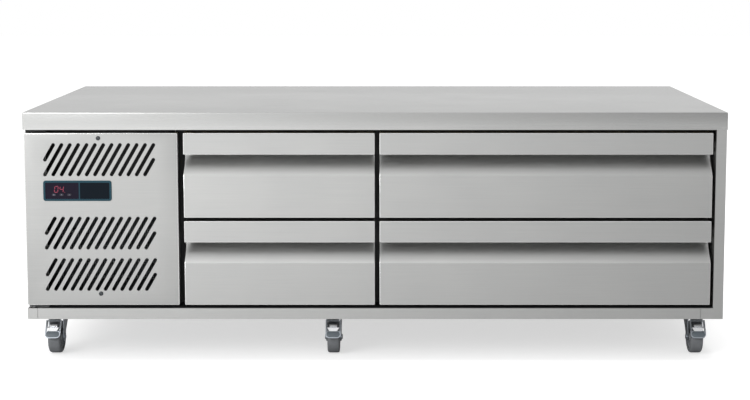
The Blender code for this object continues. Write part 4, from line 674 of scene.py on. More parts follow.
def slotted_sheet_recipe() -> Recipe:
    """A flat sheet with three rows of slanted slots and the holes whose outlines it starts from.

    Returns:
        The tree.
    """
    sizes = (
        "Width", "Height", "Sheet", "Slot Width", "Slot Height", "Slant", "Pitch", "Left", "First Row",
        "Second Row", "Third Row",
    )
    inputs = {**{size: "Float" for size in sizes}, "Count": "Int", "Material": "Material"}
    recipe = Recipe("slotted_sheet", inputs)
    add, get, link = recipe.add, recipe.get, recipe.tree.links.new
    kind, place_kind = "ShaderNodeMath", "ShaderNodeCombineXYZ"
    tangent = add(kind, {0: get("Slant"), 1: 0.0}, operation="TANGENT")
    sine = add(kind, {0: get("Slant"), 1: 0.0}, operation="SINE")
    run = add(kind, {0: get("Slot Height"), 1: tangent}, operation="DIVIDE")
    length = add(kind, {0: get("Slot Height"), 1: sine}, operation="DIVIDE")
    upright = add(kind, {0: get("Slant"), 1: math.pi / 2}, operation="SUBTRACT")
    lean = add(place_kind, {2: upright})

    def slot(share: float, x: Any, y: Any) -> bpy.types.NodeSocket:
        """One slot's outline.

        Args:
            share: Its share of a full slot's length.
            x: How far to the right its middle is.
            y: How high its middle is.

        Returns:
            The outline.
        """
        shorter = add(kind, {0: length, 1: share}, operation="MULTIPLY")
        full = add(kind, {0: shorter, 1: get("Slot Width")}, operation="ADD")
        outline = add(
            "GeometryNodeCurvePrimitiveQuadrilateral", {"Width": get("Slot Width"), "Height": full}
        )
        radius = add(kind, {0: get("Slot Width"), 1: 0.499}, operation="MULTIPLY")
        ends = add("GeometryNodeFilletCurve", {0: outline, "Count": 5, "Radius": radius}, mode="POLY")
        place = add(place_kind, {0: x, 1: y})
        return add("GeometryNodeTransform", {0: ends, "Translation": place, "Rotation": lean})

    half_run = add(kind, {0: run, 1: 0.5}, operation="MULTIPLY")
    row = add("GeometryNodeMeshLine", {"Count": get("Count"), "Offset": add(place_kind, {0: get("Pitch")})})
    half_height = add(kind, {0: get("Slot Height"), 1: 0.5}, operation="MULTIPLY")
    whole = slot(1.0, half_run, half_height)
    full_slots = add("GeometryNodeInstanceOnPoints", {"Points": row, "Instance": whole})
    far_run = add(kind, {0: run, 1: 0.75}, operation="MULTIPLY")
    before = add(kind, {0: far_run, 1: get("Pitch")}, operation="SUBTRACT")
    far_height = add(kind, {0: get("Slot Height"), 1: 0.75}, operation="MULTIPLY")
    first = slot(0.5, before, far_height)
    near_run = add(kind, {0: run, 1: 0.25}, operation="MULTIPLY")
    near_height = add(kind, {0: get("Slot Height"), 1: 0.25}, operation="MULTIPLY")
    last = slot(0.5, near_run, near_height)
    reach = add(kind, {0: get("Pitch"), 1: get("Count")}, operation="MULTIPLY")
    last = add("GeometryNodeTransform", {0: last, "Translation": add(place_kind, {0: reach})})
    slots, outlines, both = (recipe.tree.nodes.new("GeometryNodeJoinGeometry") for _ in range(3))
    for part in (full_slots, first, last):
        link(part, slots.inputs[0])
    for label in ("First Row", "Second Row", "Third Row"):
        place = add(place_kind, {0: get("Left"), 1: get(label)})
        link(add("GeometryNodeTransform", {0: slots.outputs[0], "Translation": place}), outlines.inputs[0])
    border = add(
        "GeometryNodeCurvePrimitiveQuadrilateral", {"Width": get("Width"), "Height": get("Height")}
    )
    across, up = (add(kind, {0: get(label), 1: 0.5}, operation="MULTIPLY") for label in ("Width", "Height"))
    middle = add(place_kind, {0: across, 1: up})
    link(add("GeometryNodeTransform", {0: border, "Translation": middle}), outlines.inputs[0])
    link(add("GeometryNodeMeshToCurve", {0: get("Geometry")}), outlines.inputs[0])
    real = add("GeometryNodeRealizeInstances", {0: outlines.outputs[0]})
    flat = add("GeometryNodeFillCurve", {0: real}, mode="TRIANGLES")
    back = add(kind, {0: get("Sheet"), 1: -1.0}, operation="MULTIPLY")
    depth = add(place_kind, {2: back})
    pull = {0: flat, "Offset": depth, "Offset Scale": 1.0, "Individual": False}
    for part in (flat, add("GeometryNodeExtrudeMesh", pull)):
        link(part, both.inputs[0])
    recipe.end(add("GeometryNodeMergeByDistance", {0: both.outputs[0], "Distance": 0.00001}))
    return recipe


@dataclass
class Recipes:
    """The trees that several sub-assemblies use."""

    scatter: Recipe = field(default_factory=scatter_recipe)
    row: Recipe = field(default_factory=row_recipe)
    ring: Recipe = field(default_factory=ring_recipe)

    @staticmethod
    def copies(
        recipe: Recipe, part: bpy.types.Mesh, values: dict[str, Any], start: bpy.types.Mesh | None = None
    ) -> bpy.types.Mesh:
        """Runs a tree that copies a part.

        Args:
            recipe: The tree.
            part: The mesh that it copies.
            values: A value for each of its other inputs.
            start: The mesh that the tree starts from, or nothing.

        Returns:
            The copies as a plain mesh.
        """
        holder = bpy.data.objects.new(part.name, part)
        made = recipe.run({"Part": holder, **values}, start)
        bpy.data.objects.remove(holder)
        return made

    def screws(
        self, name: str, body: str, points: Iterable[Sequence[float]], facing: Sequence[float], radius: float,
        height: float, finish: Finish, sides: int = 16,
    ) -> bpy.types.Object:
        """Pan-head screws or hexagon bolts at points.

        Args:
            name: The piece's name.
            body: The body that they move with.
            points: Where each head sits on its sheet.
            facing: The way that the heads face.
            radius: The heads' radius.
            height: How far they stand out.
            finish: Their finish.
            sides: 6 for hexagon bolts, more for round heads.

        Returns:
            The piece.
        """
        head = Shape()
        if sides == 6:
            head.lathe(rectangle((0, 0), (1.25 * radius, 0.15 * height)), Axis.Z, (0, 0, 0), 20)
            profile = [
                (0, 0.1 * height), (radius, 0.1 * height), (radius, 0.9 * height), (0.86 * radius, height),
                (0, height),
            ]
        else:
            profile = [
                (0, 0), (radius, 0), (0.97 * radius, 0.45 * height), (0.80 * radius, 0.85 * height),
                (0.48 * radius, height), (0.42 * radius, 0.35 * height), (0, 0.35 * height),
            ]
        head.lathe(profile, Axis.Z, (0, 0, 0), sides)
        spots = bpy.data.meshes.new("spots")
        spots.from_pydata([tuple(point) for point in points], [], [])
        values = {"Facing": Vector(facing), "Material": finish.material()}
        made = self.copies(self.scatter, head.data("screw_head"), values, spots)
        made.set_sharp_from_angle(angle=math.radians(SHARP))
        return place_piece(name, made, body, finish)


def tray_loops(
    low: Point, high: Point, radius: float, depth: float, inset: float = 0.0, steps: int = 4
) -> list[list[Vector]]:
    """Loops down the outside of a folded tray whose face looks along +Z at Z 0, from the face's edge back.

    Args:
        low: The tray's lower left corner.
        high: Its upper right corner.
        radius: The radius of its folded edges.
        depth: Its depth.
        inset: How far the surface lies inside the tray's outside, on all sides.
        steps: How many flats make each fold.

    Returns:
        The loops, the first of which has sharp corners.
    """
    loops = []
    inner = radius - inset
    for step in range(steps + 1):
        turn = math.pi / 2 * step / steps
        out = inner * math.sin(turn)
        edge = radius - out
        outline = rounded((low[0] + edge, low[1] + edge), (high[0] - edge, high[1] - edge), max(out, 1e-9), 4)
        loops.append([Vector((u, v, -radius + inner * math.cos(turn))) for u, v in outline])
    loops.append([Vector((point.x, point.y, -depth)) for point in loops[-1]])
    return loops


STAND = Matrix.Rotation(math.pi / 2, 4, "X")


@dataclass
class Worktop:
    """The folded steel worktop, open below with a flange all round."""

    edge_radius: float = 0.0020
    sheet: float = 0.0015
    flange: float = 0.015
    flange_corner: float = 0.001

    def build(self) -> None:
        """Folds the sheet: its face, its rounded edges, its rim and its flange."""
        low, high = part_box("worktop")
        shape = Shape()
        depth = high.z - low.z
        corners = ((low.x, low.y), (high.x, high.y))
        outside = tray_loops(*corners, self.edge_radius, depth)
        inside = tray_loops(*corners, self.edge_radius, depth - self.sheet, self.sheet)
        reach = self.sheet + self.flange
        lip = rounded((low.x + reach, low.y + reach), (high.x - reach, high.y - reach), self.flange_corner, 4)
        under = [Vector((u, v, -depth)) for u, v in lip]
        over = [Vector((u, v, -depth + self.sheet)) for u, v in lip]
        shape.loft([*outside, under, over, *reversed(inside)])
        shape.move(Matrix.Translation((0, 0, high.z)))
        mesh = shape.data("worktop_skin", 1e-6)
        place_piece("worktop_skin", mesh, "cabinet", [(WORKTOP_STEEL, Grain.ALONG_X)], ["worktop"])


@dataclass
class MachineCover:
    """The removable cover in front of the condensing unit, with its slanted slots and two screws."""

    edge_radius: float = 0.0020
    sheet: float = 0.0012
    slot_width: float = 0.0084
    slot_height: float = 0.0683
    slot_slant: float = math.radians(60)
    slot_pitch: float = 0.0191
    slot_left: float = 0.0475
    slot_rows: tuple[float, float, float] = (0.3048, 0.1346, 0.0377)
    slot_count: int = 12
    screw_side: float = 0.1706
    screw_heights: tuple[float, float] = (0.0270, 0.3885)
    screw_radius: float = 0.0052
    screw_rise: float = 0.0026
    hole_reach: float = 0.0040
    hole_corner: float = 0.0039
    fold_slopes: Point = (0.15, 0.985)
    window: tuple[Point, Point] = ((0.0475, 0.2482), (0.1951, 0.2862))

    def holes(self) -> bpy.types.Mesh:
        """The outlines of the controller's window and of the screw holes, on the flat sheet.

        Returns:
            The outlines as a mesh of edges.
        """
        edge, reach, side = self.edge_radius, self.hole_reach, self.screw_side
        outlines = [rectangle(*self.window)]
        for height in self.screw_heights:
            low, high = (side - reach, height - reach), (side + reach, height + reach)
            outlines.append(rounded(low, high, self.hole_corner))
        points, edges = [], []
        for outline in outlines:
            first = len(points)
            points += [(u - edge, v - edge, 0) for u, v in outline]
            edges += [(first + i, first + (i + 1) % len(outline)) for i in range(len(outline))]
        mesh = bpy.data.meshes.new("cover_holes")
        mesh.from_pydata(points, edges, [])
        return mesh

    def build(self, recipes: Recipes) -> None:
        """Folds the slotted sheet, and adds its screws.

        Args:
            recipes: The tree that copies the screws.
        """
        low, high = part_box("compressor_cover")
        edge = self.edge_radius
        size = (high.x - low.x, high.z - low.z)
        flat = (size[0] - 2 * edge, size[1] - 2 * edge)
        labels = ("First Row", "Second Row", "Third Row")
        rows = {label: height - edge for label, height in zip(labels, self.slot_rows)}
        sheet = Shape()
        sheet.add_mesh(slotted_sheet_recipe().run(
            {
                "Width": flat[0], "Height": flat[1], "Sheet": self.sheet, "Slot Width": self.slot_width,
                "Slot Height": self.slot_height, "Slant": self.slot_slant, "Pitch": self.slot_pitch,
                "Left": self.slot_left - edge, "Count": self.slot_count, **rows,
                "Material": SHADED_COVER_STEEL.material(Grain.ALONG_X),
            },
            self.holes(),
        ))
        rim = [
            side for side in sheet.mesh.faces
            if abs(side.normal.z) < 0.5 and self._on_rim(side.calc_center_median(), *flat)
        ]
        bmesh.ops.delete(sheet.mesh, geom=rim, context="FACES_ONLY")
        sheet.move(Matrix.Translation((edge, edge, 0)))
        depth = high.y - low.y
        outside = tray_loops((0, 0), size, edge, depth)
        inside = tray_loops((0, 0), size, edge, depth, self.sheet)
        sheet.loft([*outside, *reversed(inside)], ends=False)
        # The faces of the cover's rounded folds, neither flat nor upright, take the painted highlight finish.
        flattest, steepest = self.fold_slopes
        for side in sheet.mesh.faces:
            side.normal_update()
            side.material_index = int(flattest < abs(side.normal.z) < steepest)
        sheet.move(Matrix.Translation((low.x, low.y, low.z)) @ STAND)
        # The cover's sheet takes the darker steel of painted shade, and its folds take the painted highlight.
        finishes = [(SHADED_COVER_STEEL, Grain.ALONG_X), HIGHLIGHT_EDGE_STEEL]
        mesh = sheet.data("machine_cover", 2e-6)
        place_piece("machine_cover", mesh, "cabinet", finishes, ["compressor_cover"])
        spots = [(low.x + self.screw_side, low.y, low.z + height) for height in self.screw_heights]
        recipes.screws(
            "cover_screws", "cabinet", spots, (0, -1, 0), self.screw_radius, self.screw_rise, BLACKENED, 20
        )

    @staticmethod
    def _on_rim(point: Vector, width: float, height: float) -> bool:
        """Whether a point of the flat sheet lies on its outer edge."""
        return min(abs(point.x), abs(point.x - width), abs(point.y), abs(point.y - height)) < 1e-5


@dataclass
class Controller:
    """The temperature controller: a teal rim, a smoked window with two lit digits, and a bare navy panel."""

    corner: float = 0.0055
    rim: float = 0.0044
    rim_depth: float = 0.0022
    chamfer: float = 0.0006
    recess: float = 0.0007
    recess_corner: float = 0.0022
    body_inset: float = 0.005
    split: float = 0.0815
    panes_apart: float = 0.0026
    pane_gap: float = 0.0004
    pane_corner: float = 0.0018
    # The panes lie so deep that a key at the end of its travel still stands proud of them.
    pane_rise: float = 0.0001
    pane_sink: float = 0.0002
    digits: str = "04"
    digits_middle: Point = (0.0362, 0.0270)
    digit_step: float = 0.0122
    digit_height: float = 0.0135
    digit_width: float = 0.0078
    dot: tuple[Point, Point] = ((0.0122, -0.0074), (0.0138, -0.0058))
    dot_corner: float = 0.0007
    lit_rise: float = 0.00025
    stroke: float = 0.0015
    lean: float = 0.12
    mark: float = 0.0013
    mark_rise: float = 0.0001

    SEGMENTS = {"0": "abcdef", "4": "bcfg"}

    def segment(self, shape: Shape, x: float, z: float, upright: bool, length: float, y: float) -> None:
        """One lit bar with pointed ends.

        Args:
            shape: The mesh that it goes in.
            x: How far to the right its middle is.
            z: How high its middle is.
            upright: Whether it stands.
            length: Its length.
            y: The pane's face.
        """
        half, point = length / 2, self.stroke / 2
        bar = [
            (-half, 0), (-half + point, -point), (half - point, -point), (half, 0), (half - point, point),
            (-half + point, point),
        ]
        outline = [((x + v + self.lean * u, z + u) if upright else (x + u, z + v)) for u, v in bar]
        shape.prism(outline, Axis.Y, y - self.lit_rise, y, 3)

    def digit(self, shape: Shape, text: str, x: float, z: float, y: float) -> None:
        """One seven-segment digit.

        Args:
            shape: The mesh that it goes in.
            text: The digit.
            x: How far to the right its middle is.
            z: How high its middle is.
            y: The pane's face.
        """
        wide, high = self.digit_width / 2, self.digit_height / 4
        places = {
            "a": (0, 2 * high, False), "b": (wide, high, True), "c": (wide, -high, True),
            "d": (0, -2 * high, False), "e": (-wide, -high, True), "f": (-wide, high, True),
            "g": (0, 0, False),
        }
        for name in self.SEGMENTS[text]:
            dx, dz, upright = places[name]
            length = (2 * high if upright else 2 * wide) - self.stroke * 0.5
            self.segment(shape, x + dx + self.lean * dz, z + dz, upright, length, y)

    def build(self) -> None:
        """Makes the housing, its rim, its two panels and its digits."""
        low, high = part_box("controller_housing")
        shape = Shape()
        front, back, cut, rim = low.y, low.y + self.rim_depth, self.chamfer, self.rim
        sunk = front + self.recess
        outer = rounded((low.x, low.z), (high.x, high.z), self.corner, 6)
        bevelled = rounded((low.x + cut, low.z + cut), (high.x - cut, high.z - cut), self.corner - cut, 6)
        inner = rounded((low.x + rim, low.z + rim), (high.x - rim, high.z - rim), self.recess_corner, 6)
        levels = ((outer, back), (outer, front + cut), (bevelled, front), (inner, front), (inner, sunk))
        shape.loft([[Vector((u, y, v)) for u, v in outline] for outline, y in levels])
        inset = self.body_inset
        shape.box((low.x + inset, back - 0.0002, low.z + inset), (high.x - inset, high.y, high.z - inset), 4)
        bottom, top = low.z + rim + self.pane_gap, high.z - rim - self.pane_gap
        sides = (
            (low.x + rim + self.pane_gap, low.x + self.split),
            (low.x + self.split + self.panes_apart, high.x - rim - self.pane_gap),
        )
        glass = sunk - self.pane_rise
        for number, (left, right) in enumerate(sides, 1):
            pane = rounded((left, bottom), (right, top), self.pane_corner)
            shape.prism(pane, Axis.Y, glass, sunk + self.pane_sink, number)
        x, z = low.x + self.digits_middle[0], low.z + self.digits_middle[1]
        for index, text in enumerate(self.digits):
            self.digit(shape, text, x + (index - 0.5) * self.digit_step, z, glass)
        start, end = ((x + u, z + v) for u, v in self.dot)
        shape.prism(rounded(start, end, self.dot_corner), Axis.Y, glass - self.lit_rise, glass, 3)
        finishes = [TEAL, SMOKED, NAVY, RED_LIGHT, BLACK_ABS]
        place_piece("controller", shape, "cabinet", finishes, ["controller_housing"])
        self.marks()

    def marks(self) -> None:
        """The printed ring, down arrow and up arrow on the three keys."""
        size = self.mark
        shapes = {
            "set_key": rounded((-size, -size), (size, size), size * 0.99, 5),
            "down_key": [(0, -size), (size, size * 0.8), (-size, size * 0.8)],
            "up_key": [(-size, -size * 0.8), (size, -size * 0.8), (0, size)],
        }
        for body, outline in shapes.items():
            low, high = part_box(body)
            x, z = (low.x + high.x) / 2, (low.z + high.z) / 2
            shape = Shape()
            placed = [(u + x, v + z) for u, v in outline]
            shape.prism(placed, Axis.Y, low.y - self.mark_rise, low.y + self.mark_rise)
            place_piece(f"{body}_mark", shape, body, PRINT)


@dataclass
class Drawer:
    """One drawer: its front with a lip over a scoop, its seal and its fixings."""

    name: str
    lip_height: float = 0.050
    lip_thickness: float = 0.007
    pocket_rise: float = 0.026
    scoop_depth: float = 0.032
    scoop_wall: float = 0.0035
    scoop_height: float = 0.048
    edge_radius: float = 0.0018
    bar_drop: float = 0.0060
    bolt_drop: float = 0.018
    bolt_inset: float = 0.060
    bar_sheet: float = 0.0015
    bolt_size: Point = (0.0045, 0.0030)

    # The seal's section: how far in from its outside, and the share of its depth.
    BELLOWS = (
        (0.0, 0.0), (0.0110, 0.0), (0.0110, 0.18), (0.0098, 0.26), (0.0106, 0.40), (0.0104, 0.80),
        (0.0092, 0.97), (0.0062, 1.0), (0.0054, 0.90), (0.0046, 1.0), (0.0016, 0.97), (0.0006, 0.80),
        (0.0004, 0.40), (0.0012, 0.26), (0.0, 0.18),
    )

    def profile(self, low: Vector, high: Vector) -> list[Point]:
        """The front's side view: the lip, the pocket behind it and the hollow scoop below.

        Args:
            low: The front's lowest corner.
            high: Its highest corner.

        Returns:
            The side view's outline as (y, z).
        """
        face, back, top = low.y, high.y, high.z
        lip = top - self.lip_height
        deep = face + self.scoop_depth
        roof = lip + self.pocket_rise
        hollow = curve(
            (deep, lip - self.scoop_wall), (deep - 0.004, lip - 0.0175), (face + 0.0085, lip - 0.034),
            (face, lip - self.scoop_height), 14,
        )
        return [
            (face, top), (face, lip), (face + self.lip_thickness, lip), (face + self.lip_thickness, roof),
            (deep, roof), *hollow, (face, low.z), (back, low.z), (back, top),
        ]

    def front(self) -> None:
        """Pulls the side view across the drawer."""
        low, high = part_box(f"{self.name}_drawer_front")
        shape = Shape()
        shape.prism(self.profile(low, high), Axis.X, low.x, high.x)
        name = f"{self.name}_front_panel"
        # The rounding along the front's edges takes the painted highlight finish.
        place_piece(
            name, shape.data(name, 1e-7, 24), f"{self.name}_drawer", [(STAINLESS, Grain.ALONG_X), HIGHLIGHT_EDGE_STEEL],
            [f"{self.name}_drawer_front"], self.edge_radius, 3, 1,
        )

    def seal(self) -> None:
        """A ribbed bellows seal, mitred at its corners."""
        low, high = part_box(f"{self.name}_gasket")
        loops = []
        for inset, share in self.BELLOWS:
            y = low.y + share * (high.y - low.y)
            outline = rectangle((low.x + inset, low.z + inset), (high.x - inset, high.z - inset))
            loops.append([Vector((x, y, z)) for x, z in outline])
        shape = Shape()
        shape.loft(loops, around=True)
        name = f"{self.name}_seal"
        mesh = shape.data(name, 1e-7, 50)
        place_piece(name, mesh, f"{self.name}_drawer", SEAL, [f"{self.name}_gasket"])

    def fixings(self, recipes: Recipes) -> None:
        """The bolts that hold the frame's front bar to the front.

        Args:
            recipes: The tree that copies the bolts.
        """
        low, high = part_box(f"{self.name}_drawer_frame")
        sides = (low.x + self.bolt_inset, (low.x + high.x) / 2, high.x - self.bolt_inset)
        spots = [(x, low.y + self.bar_sheet, high.z - self.bar_drop - self.bolt_drop) for x in sides]
        recipes.screws(
            f"{self.name}_bolts", f"{self.name}_drawer", spots, (0, 1, 0), *self.bolt_size, ZINC, 6
        )

    def build(self, recipes: Recipes) -> None:
        """Makes the drawer's pieces.

        Args:
            recipes: The tree that copies the bolts.
        """
        self.front()
        self.seal()
        self.fixings(recipes)


@dataclass
class Castor:
    """One swivel castor, from its plate's bolts down to its wheel, with a brake pedal at the front."""

    name: str
    braked: bool
    trail: float = 0.030
    wheel_radius: float = 0.0375
    tyre_half: float = 0.0145
    crown_z: float = 0.0845
    crown_top: float = 0.0870
    head_top: float = 0.0957
    inner: float = 0.0155
    sheet: float = 0.0025
    nut_reach: float = 0.0210
    pin: Point = (-0.0245, 0.0838)
    knee: Point = (-0.058, 0.0845)
    tip: Point = (-0.082, 0.047)
    pedal_sheet: float = 0.003
    pad_half: float = 0.0180
    pad_share: float = 0.209
    middle_share: float = 0.791
    arm_half: float = 0.0135
    boss_radius: float = 0.0105
    crown_bend: float = 0.0036
    axle_radius: float = 0.0040
    washer_radius: float = 0.0082
    nut_radius: float = 0.0065
    pin_radius: float = 0.0025
    rib: tuple[Point, Point] = ((0.0116, -0.0008), (0.0232, 0.0008))
    rib_reach: Point = (0.0060, 0.0108)
    rib_count: int = 10
    bolt_spots: Point = (0.026, 0.023)
    bolt_height: float = 0.0960
    bolt_size: Point = (0.0045, 0.0040)

    # Half of the wheel's nylon section as (radius, half width), and the pedal's strip and web from its knee.
    HUB = (
        (0.0046, 0.0148), (0.0092, 0.0148), (0.0100, 0.0135), (0.0118, 0.0120), (0.0128, 0.0072),
        (0.0215, 0.0066), (0.0228, 0.0108), (0.0263, 0.0118),
    )
    STRIP = (
        (-0.0056, -0.0093), (-0.0082, -0.0095), (-0.0102, -0.0125), (-0.0086, -0.0131), (-0.0096, -0.0150),
        (-0.0078, -0.0150), (-0.0058, -0.0115),
    )
    WEB = (
        (-0.0090, -0.0143), (-0.0135, -0.0151), (-0.0151, -0.0233), (-0.0137, -0.0235), (-0.0122, -0.0165),
        (-0.0088, -0.0159),
    )

    @property
    def centre(self) -> Vector:
        """The swivel's axis on the floor, a trail's length behind the wheel's axle."""
        (low, high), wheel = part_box(f"{self.name}_castor_fork"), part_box(f"{self.name}_castor_wheel")
        return Vector(((low.x + high.x) / 2, (wheel[0].y + wheel[1].y) / 2 + self.trail, 0))

    def fork(self) -> None:
        """The pressed fork: a ball race under the plate, a crown, and two legs that taper to the axle."""
        shape = Shape()
        head, top, inner, outer = self.head_top, self.crown_top, self.inner, self.inner + self.sheet
        race = [
            (0, head), (0.0150, head), (0.0195, head - 0.0012), (0.0195, head - 0.0034),
            (0.0168, head - 0.0044), (0.0168, top + 0.0010), (0.0185, top - 0.0004), (0, top - 0.0004),
        ]
        shape.lathe(race, Axis.Z, (0, 0, 0), 40)
        axle_y, axle_z, boss, bend = -self.trail, self.wheel_radius, self.boss_radius, self.crown_bend
        leg = [(0.022, top - 0.004), (0.020, self.crown_z - 0.008)]
        leg += curve((0.012, 0.072), (0.000, 0.060), (-0.012, 0.052), (axle_y + boss, axle_z + 0.001), 8)
        leg += [
            (axle_y + boss * math.cos(t), axle_z + boss * math.sin(t))
            for t in (-math.pi * step / 12 for step in range(13))
        ]
        leg += curve(
            (axle_y - boss, axle_z + 0.004), (axle_y - boss, 0.056), (-0.036, 0.066), (-0.036, 0.074), 5
        )
        leg += [(-0.036, top - 0.006), (-0.033, top - 0.003)]
        for start in (-outer, inner):
            shape.prism(leg, Axis.X, start, start + self.sheet)
        crown = [(outer, top - bend)]
        crown += [
            (outer - bend + bend * math.cos(t), top - bend + bend * math.sin(t))
            for t in (math.pi / 2 * step / 5 for step in range(1, 6))
        ]
        crown += [(-u, v) for u, v in reversed(crown)]
        crown += [
            (-inner, top - bend), (-inner + 0.0012, self.crown_z), (inner - 0.0012, self.crown_z),
            (inner, top - bend),
        ]
        shape.prism(crown, Axis.Y, -0.0125, 0.0215)
        shape.box((-0.0090, -0.0150, self.crown_z), (0.0090, -0.0125, top + 0.0008))
        axle = (0, axle_y, axle_z)
        shape.lathe(rectangle((0, -outer - 0.0004), (self.axle_radius, outer + 0.0004)), Axis.X, axle, 16)
        for side in (-1, 1):
            washer = rectangle((0, side * outer), (self.washer_radius, side * (outer + 0.0007)))
            shape.lathe(washer, Axis.X, axle, 24)
            nut = [
                (0, side * (outer + 0.0005)), (self.nut_radius, side * (outer + 0.0005)),
                (self.nut_radius, side * (outer + 0.0024)), (0.0056, side * self.nut_reach),
                (0, side * self.nut_reach),
            ]
            shape.lathe(nut, Axis.X, axle, 6)
        if self.braked:
            shape.lathe(rectangle((0, -outer), (self.pin_radius, outer)), Axis.X, (0, *self.pin), 14)
        shape.move(Matrix.Translation(self.centre))
        nodes = [f"{self.name}_castor_fork"]
        place_piece(f"{self.name}_fork", shape, f"{self.name}_swivel", ZINC, nodes, 0.0004, 2)

    def wheel(self, recipes: Recipes) -> None:
        """The wheel: a round tread with soft shoulders on a ribbed nylon centre with a bearing.

        Args:
            recipes: The tree that copies the ribs.
        """
        shape = Shape()
        low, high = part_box(f"{self.name}_castor_wheel")
        centre = Vector(((low.x + high.x) / 2, (low.y + high.y) / 2, self.wheel_radius))
        half, radius = self.tyre_half, self.wheel_radius
        shoulder = curve(
            (half, radius - 0.0085), (half, radius - 0.0020), (half - 0.0012, radius - 0.0003),
            (half - 0.0060, radius), 6,
        )
        tyre = [(0.0262, half - 0.0022), (radius - 0.0110, half - 0.0008), *((r, w) for w, r in shoulder)]
        for number, (section, steps) in enumerate(((tyre, 56), (self.HUB, 40))):
            ring = [*section, *((r, -w) for r, w in reversed(section))]
            shape.lathe(ring, Axis.X, centre, steps, number, around=True)
        rib = Shape()
        for side in (-1, 1):
            rib.prism(rectangle(*self.rib), Axis.Z, *(side * reach for reach in self.rib_reach))
        values = {"Count": self.rib_count, "Material": NYLON.material()}
        ribs = recipes.copies(recipes.ring, rib.data("wheel_rib"), values)
        ribs.transform(Matrix.Translation(centre) @ Matrix.Rotation(math.pi / 2, 4, "Y"))
        shape.add_mesh(ribs)
        for face in shape.mesh.faces[-len(ribs.polygons):]:
            face.material_index = 1
        name = f"{self.name}_wheel"
        place_piece(name, shape, name, [TREAD, NYLON], [f"{self.name}_castor_wheel"])

    def pedal(self) -> None:
        """The brake pedal: a bent arm on its pin and an oval coated pad in a bright rim."""
        shape = Shape()
        t, half, wide = self.pedal_sheet, self.pad_half, self.arm_half
        pin, knee, tip = (Vector(point) for point in (self.pin, self.knee, self.tip))
        slope = math.atan2(knee.y - tip.y, knee.x - tip.x)
        along = Vector((math.cos(slope), math.sin(slope)))
        inward = Vector((math.sin(slope), -math.cos(slope)))
        bend = 0.004
        end = knee - along * 0.003
        arm = [
            (pin.x, pin.y + 0.0048), *curve(knee + Vector((bend, 0)), knee, knee, knee - along * bend, 5),
            tuple(end), tuple(end + inward * t), tuple(knee + inward * t * 1.2 - along * 0.001),
            (pin.x - 0.0046, pin.y - t * 0.9), (pin.x - 0.003, pin.y - 0.0035),
        ]
        shape.prism(arm, Axis.X, -wide, wide)
        for side in (-1, 1):
            ring = rectangle((0.0029, side * (wide - 0.002)), (0.0048, side * wide))
            shape.lathe(ring, Axis.X, (0, pin.x, pin.y), 20, around=True)
        length = (knee - tip).length
        rise, middle = length * self.pad_share, -length * self.middle_share

        def oval(inset: float) -> list[Point]:
            """The pad's outline, drawn in by an inset."""
            return self.stadium(half - inset, rise - inset, middle)

        plate = Shape()
        plate.prism(self.stadium(half, rise, middle), Axis.Z, -t, -0.0009)
        for side in (-1, 1):
            edges = sorted((side * half, side * (half - 0.0034)))
            plate.prism(rectangle((edges[0], middle), (edges[1], 0)), Axis.Z, -t, -0.0004)
            plate.box((edges[0] + 0.0008, -0.018, -0.0105), (edges[1] - 0.0008, -0.0006, -t + 0.0006))
        rim, inner, pad, crown = oval(0.0002), oval(0.0019), oval(0.0021), oval(0.0038)
        levels = ((rim, -0.0010), (rim, 0.0), (inner, 0.0), (inner, -0.0010))
        plate.loft([[Vector((u, v, level)) for u, v in outline] for outline, level in levels], 0, False, True)
        levels = ((pad, -0.0011), (pad, -0.0005), (crown, -0.0001))
        plate.loft([[Vector((u, v, level)) for u, v in outline] for outline, level in levels], 1)
        plate.move(Matrix.Translation((0, knee.x, knee.y)) @ Matrix.Rotation(slope, 4, "X"))
        face = Shape()
        face.prism([(knee.x + u, knee.y + v) for u, v in self.WEB], Axis.X, -half * 0.80, half * 0.80, 2)
        for vertex in face.mesh.verts:
            fall = min(1.0, max(0.0, (knee.y - 0.0151 - vertex.co.z) / 0.0082))
            vertex.co.x *= 1.0 - 0.40 * fall
        face.prism([(knee.x + u, knee.y + v) for u, v in self.STRIP], Axis.X, -half * 0.50, half * 0.50, 2)
        shape.add_mesh(plate.data("pedal_plate"))
        shape.add_mesh(face.data("pedal_web"))
        shape.move(Matrix.Translation(self.centre))
        finishes, nodes = [ZINC, PAD_COAT, BRIGHT_ZINC], [f"{self.name}_brake_pedal"]
        place_piece(f"{self.name}_pedal", shape, f"{self.name}_brake", finishes, nodes, 0.0003, 2)

    @staticmethod
    def stadium(half: float, rise: float, middle: float) -> list[Point]:
        """An outline with straight ends across and round sides.

        Args:
            half: Half of its width.
            rise: Half of its height.
            middle: How high its middle is.

        Returns:
            The outline's points.
        """
        points = []
        for side, start in ((1, -math.pi / 2), (-1, math.pi / 2)):
            for step in range(9):
                turn = start + math.pi * step / 8
                points.append((side * (half - rise) + rise * math.cos(turn), middle + rise * math.sin(turn)))
        return points

    def bolts(self, recipes: Recipes) -> None:
        """The four bolts that hold the plate to the base frame.

        Args:
            recipes: The tree that copies the bolts.
        """
        centre, (wide, deep) = self.centre, self.bolt_spots
        spots = [
            (centre.x + dx, centre.y + dy, self.bolt_height) for dx in (-wide, wide) for dy in (-deep, deep)
        ]
        recipes.screws(f"{self.name}_plate_bolts", "cabinet", spots, (0, 0, -1), *self.bolt_size, ZINC, 6)

    def build(self, recipes: Recipes) -> None:
        """Makes the castor's pieces.

        Args:
            recipes: The trees that copy the ribs and the bolts.
        """
        self.fork()
        self.wheel(recipes)
        self.bolts(recipes)
        if self.braked:
            self.pedal()


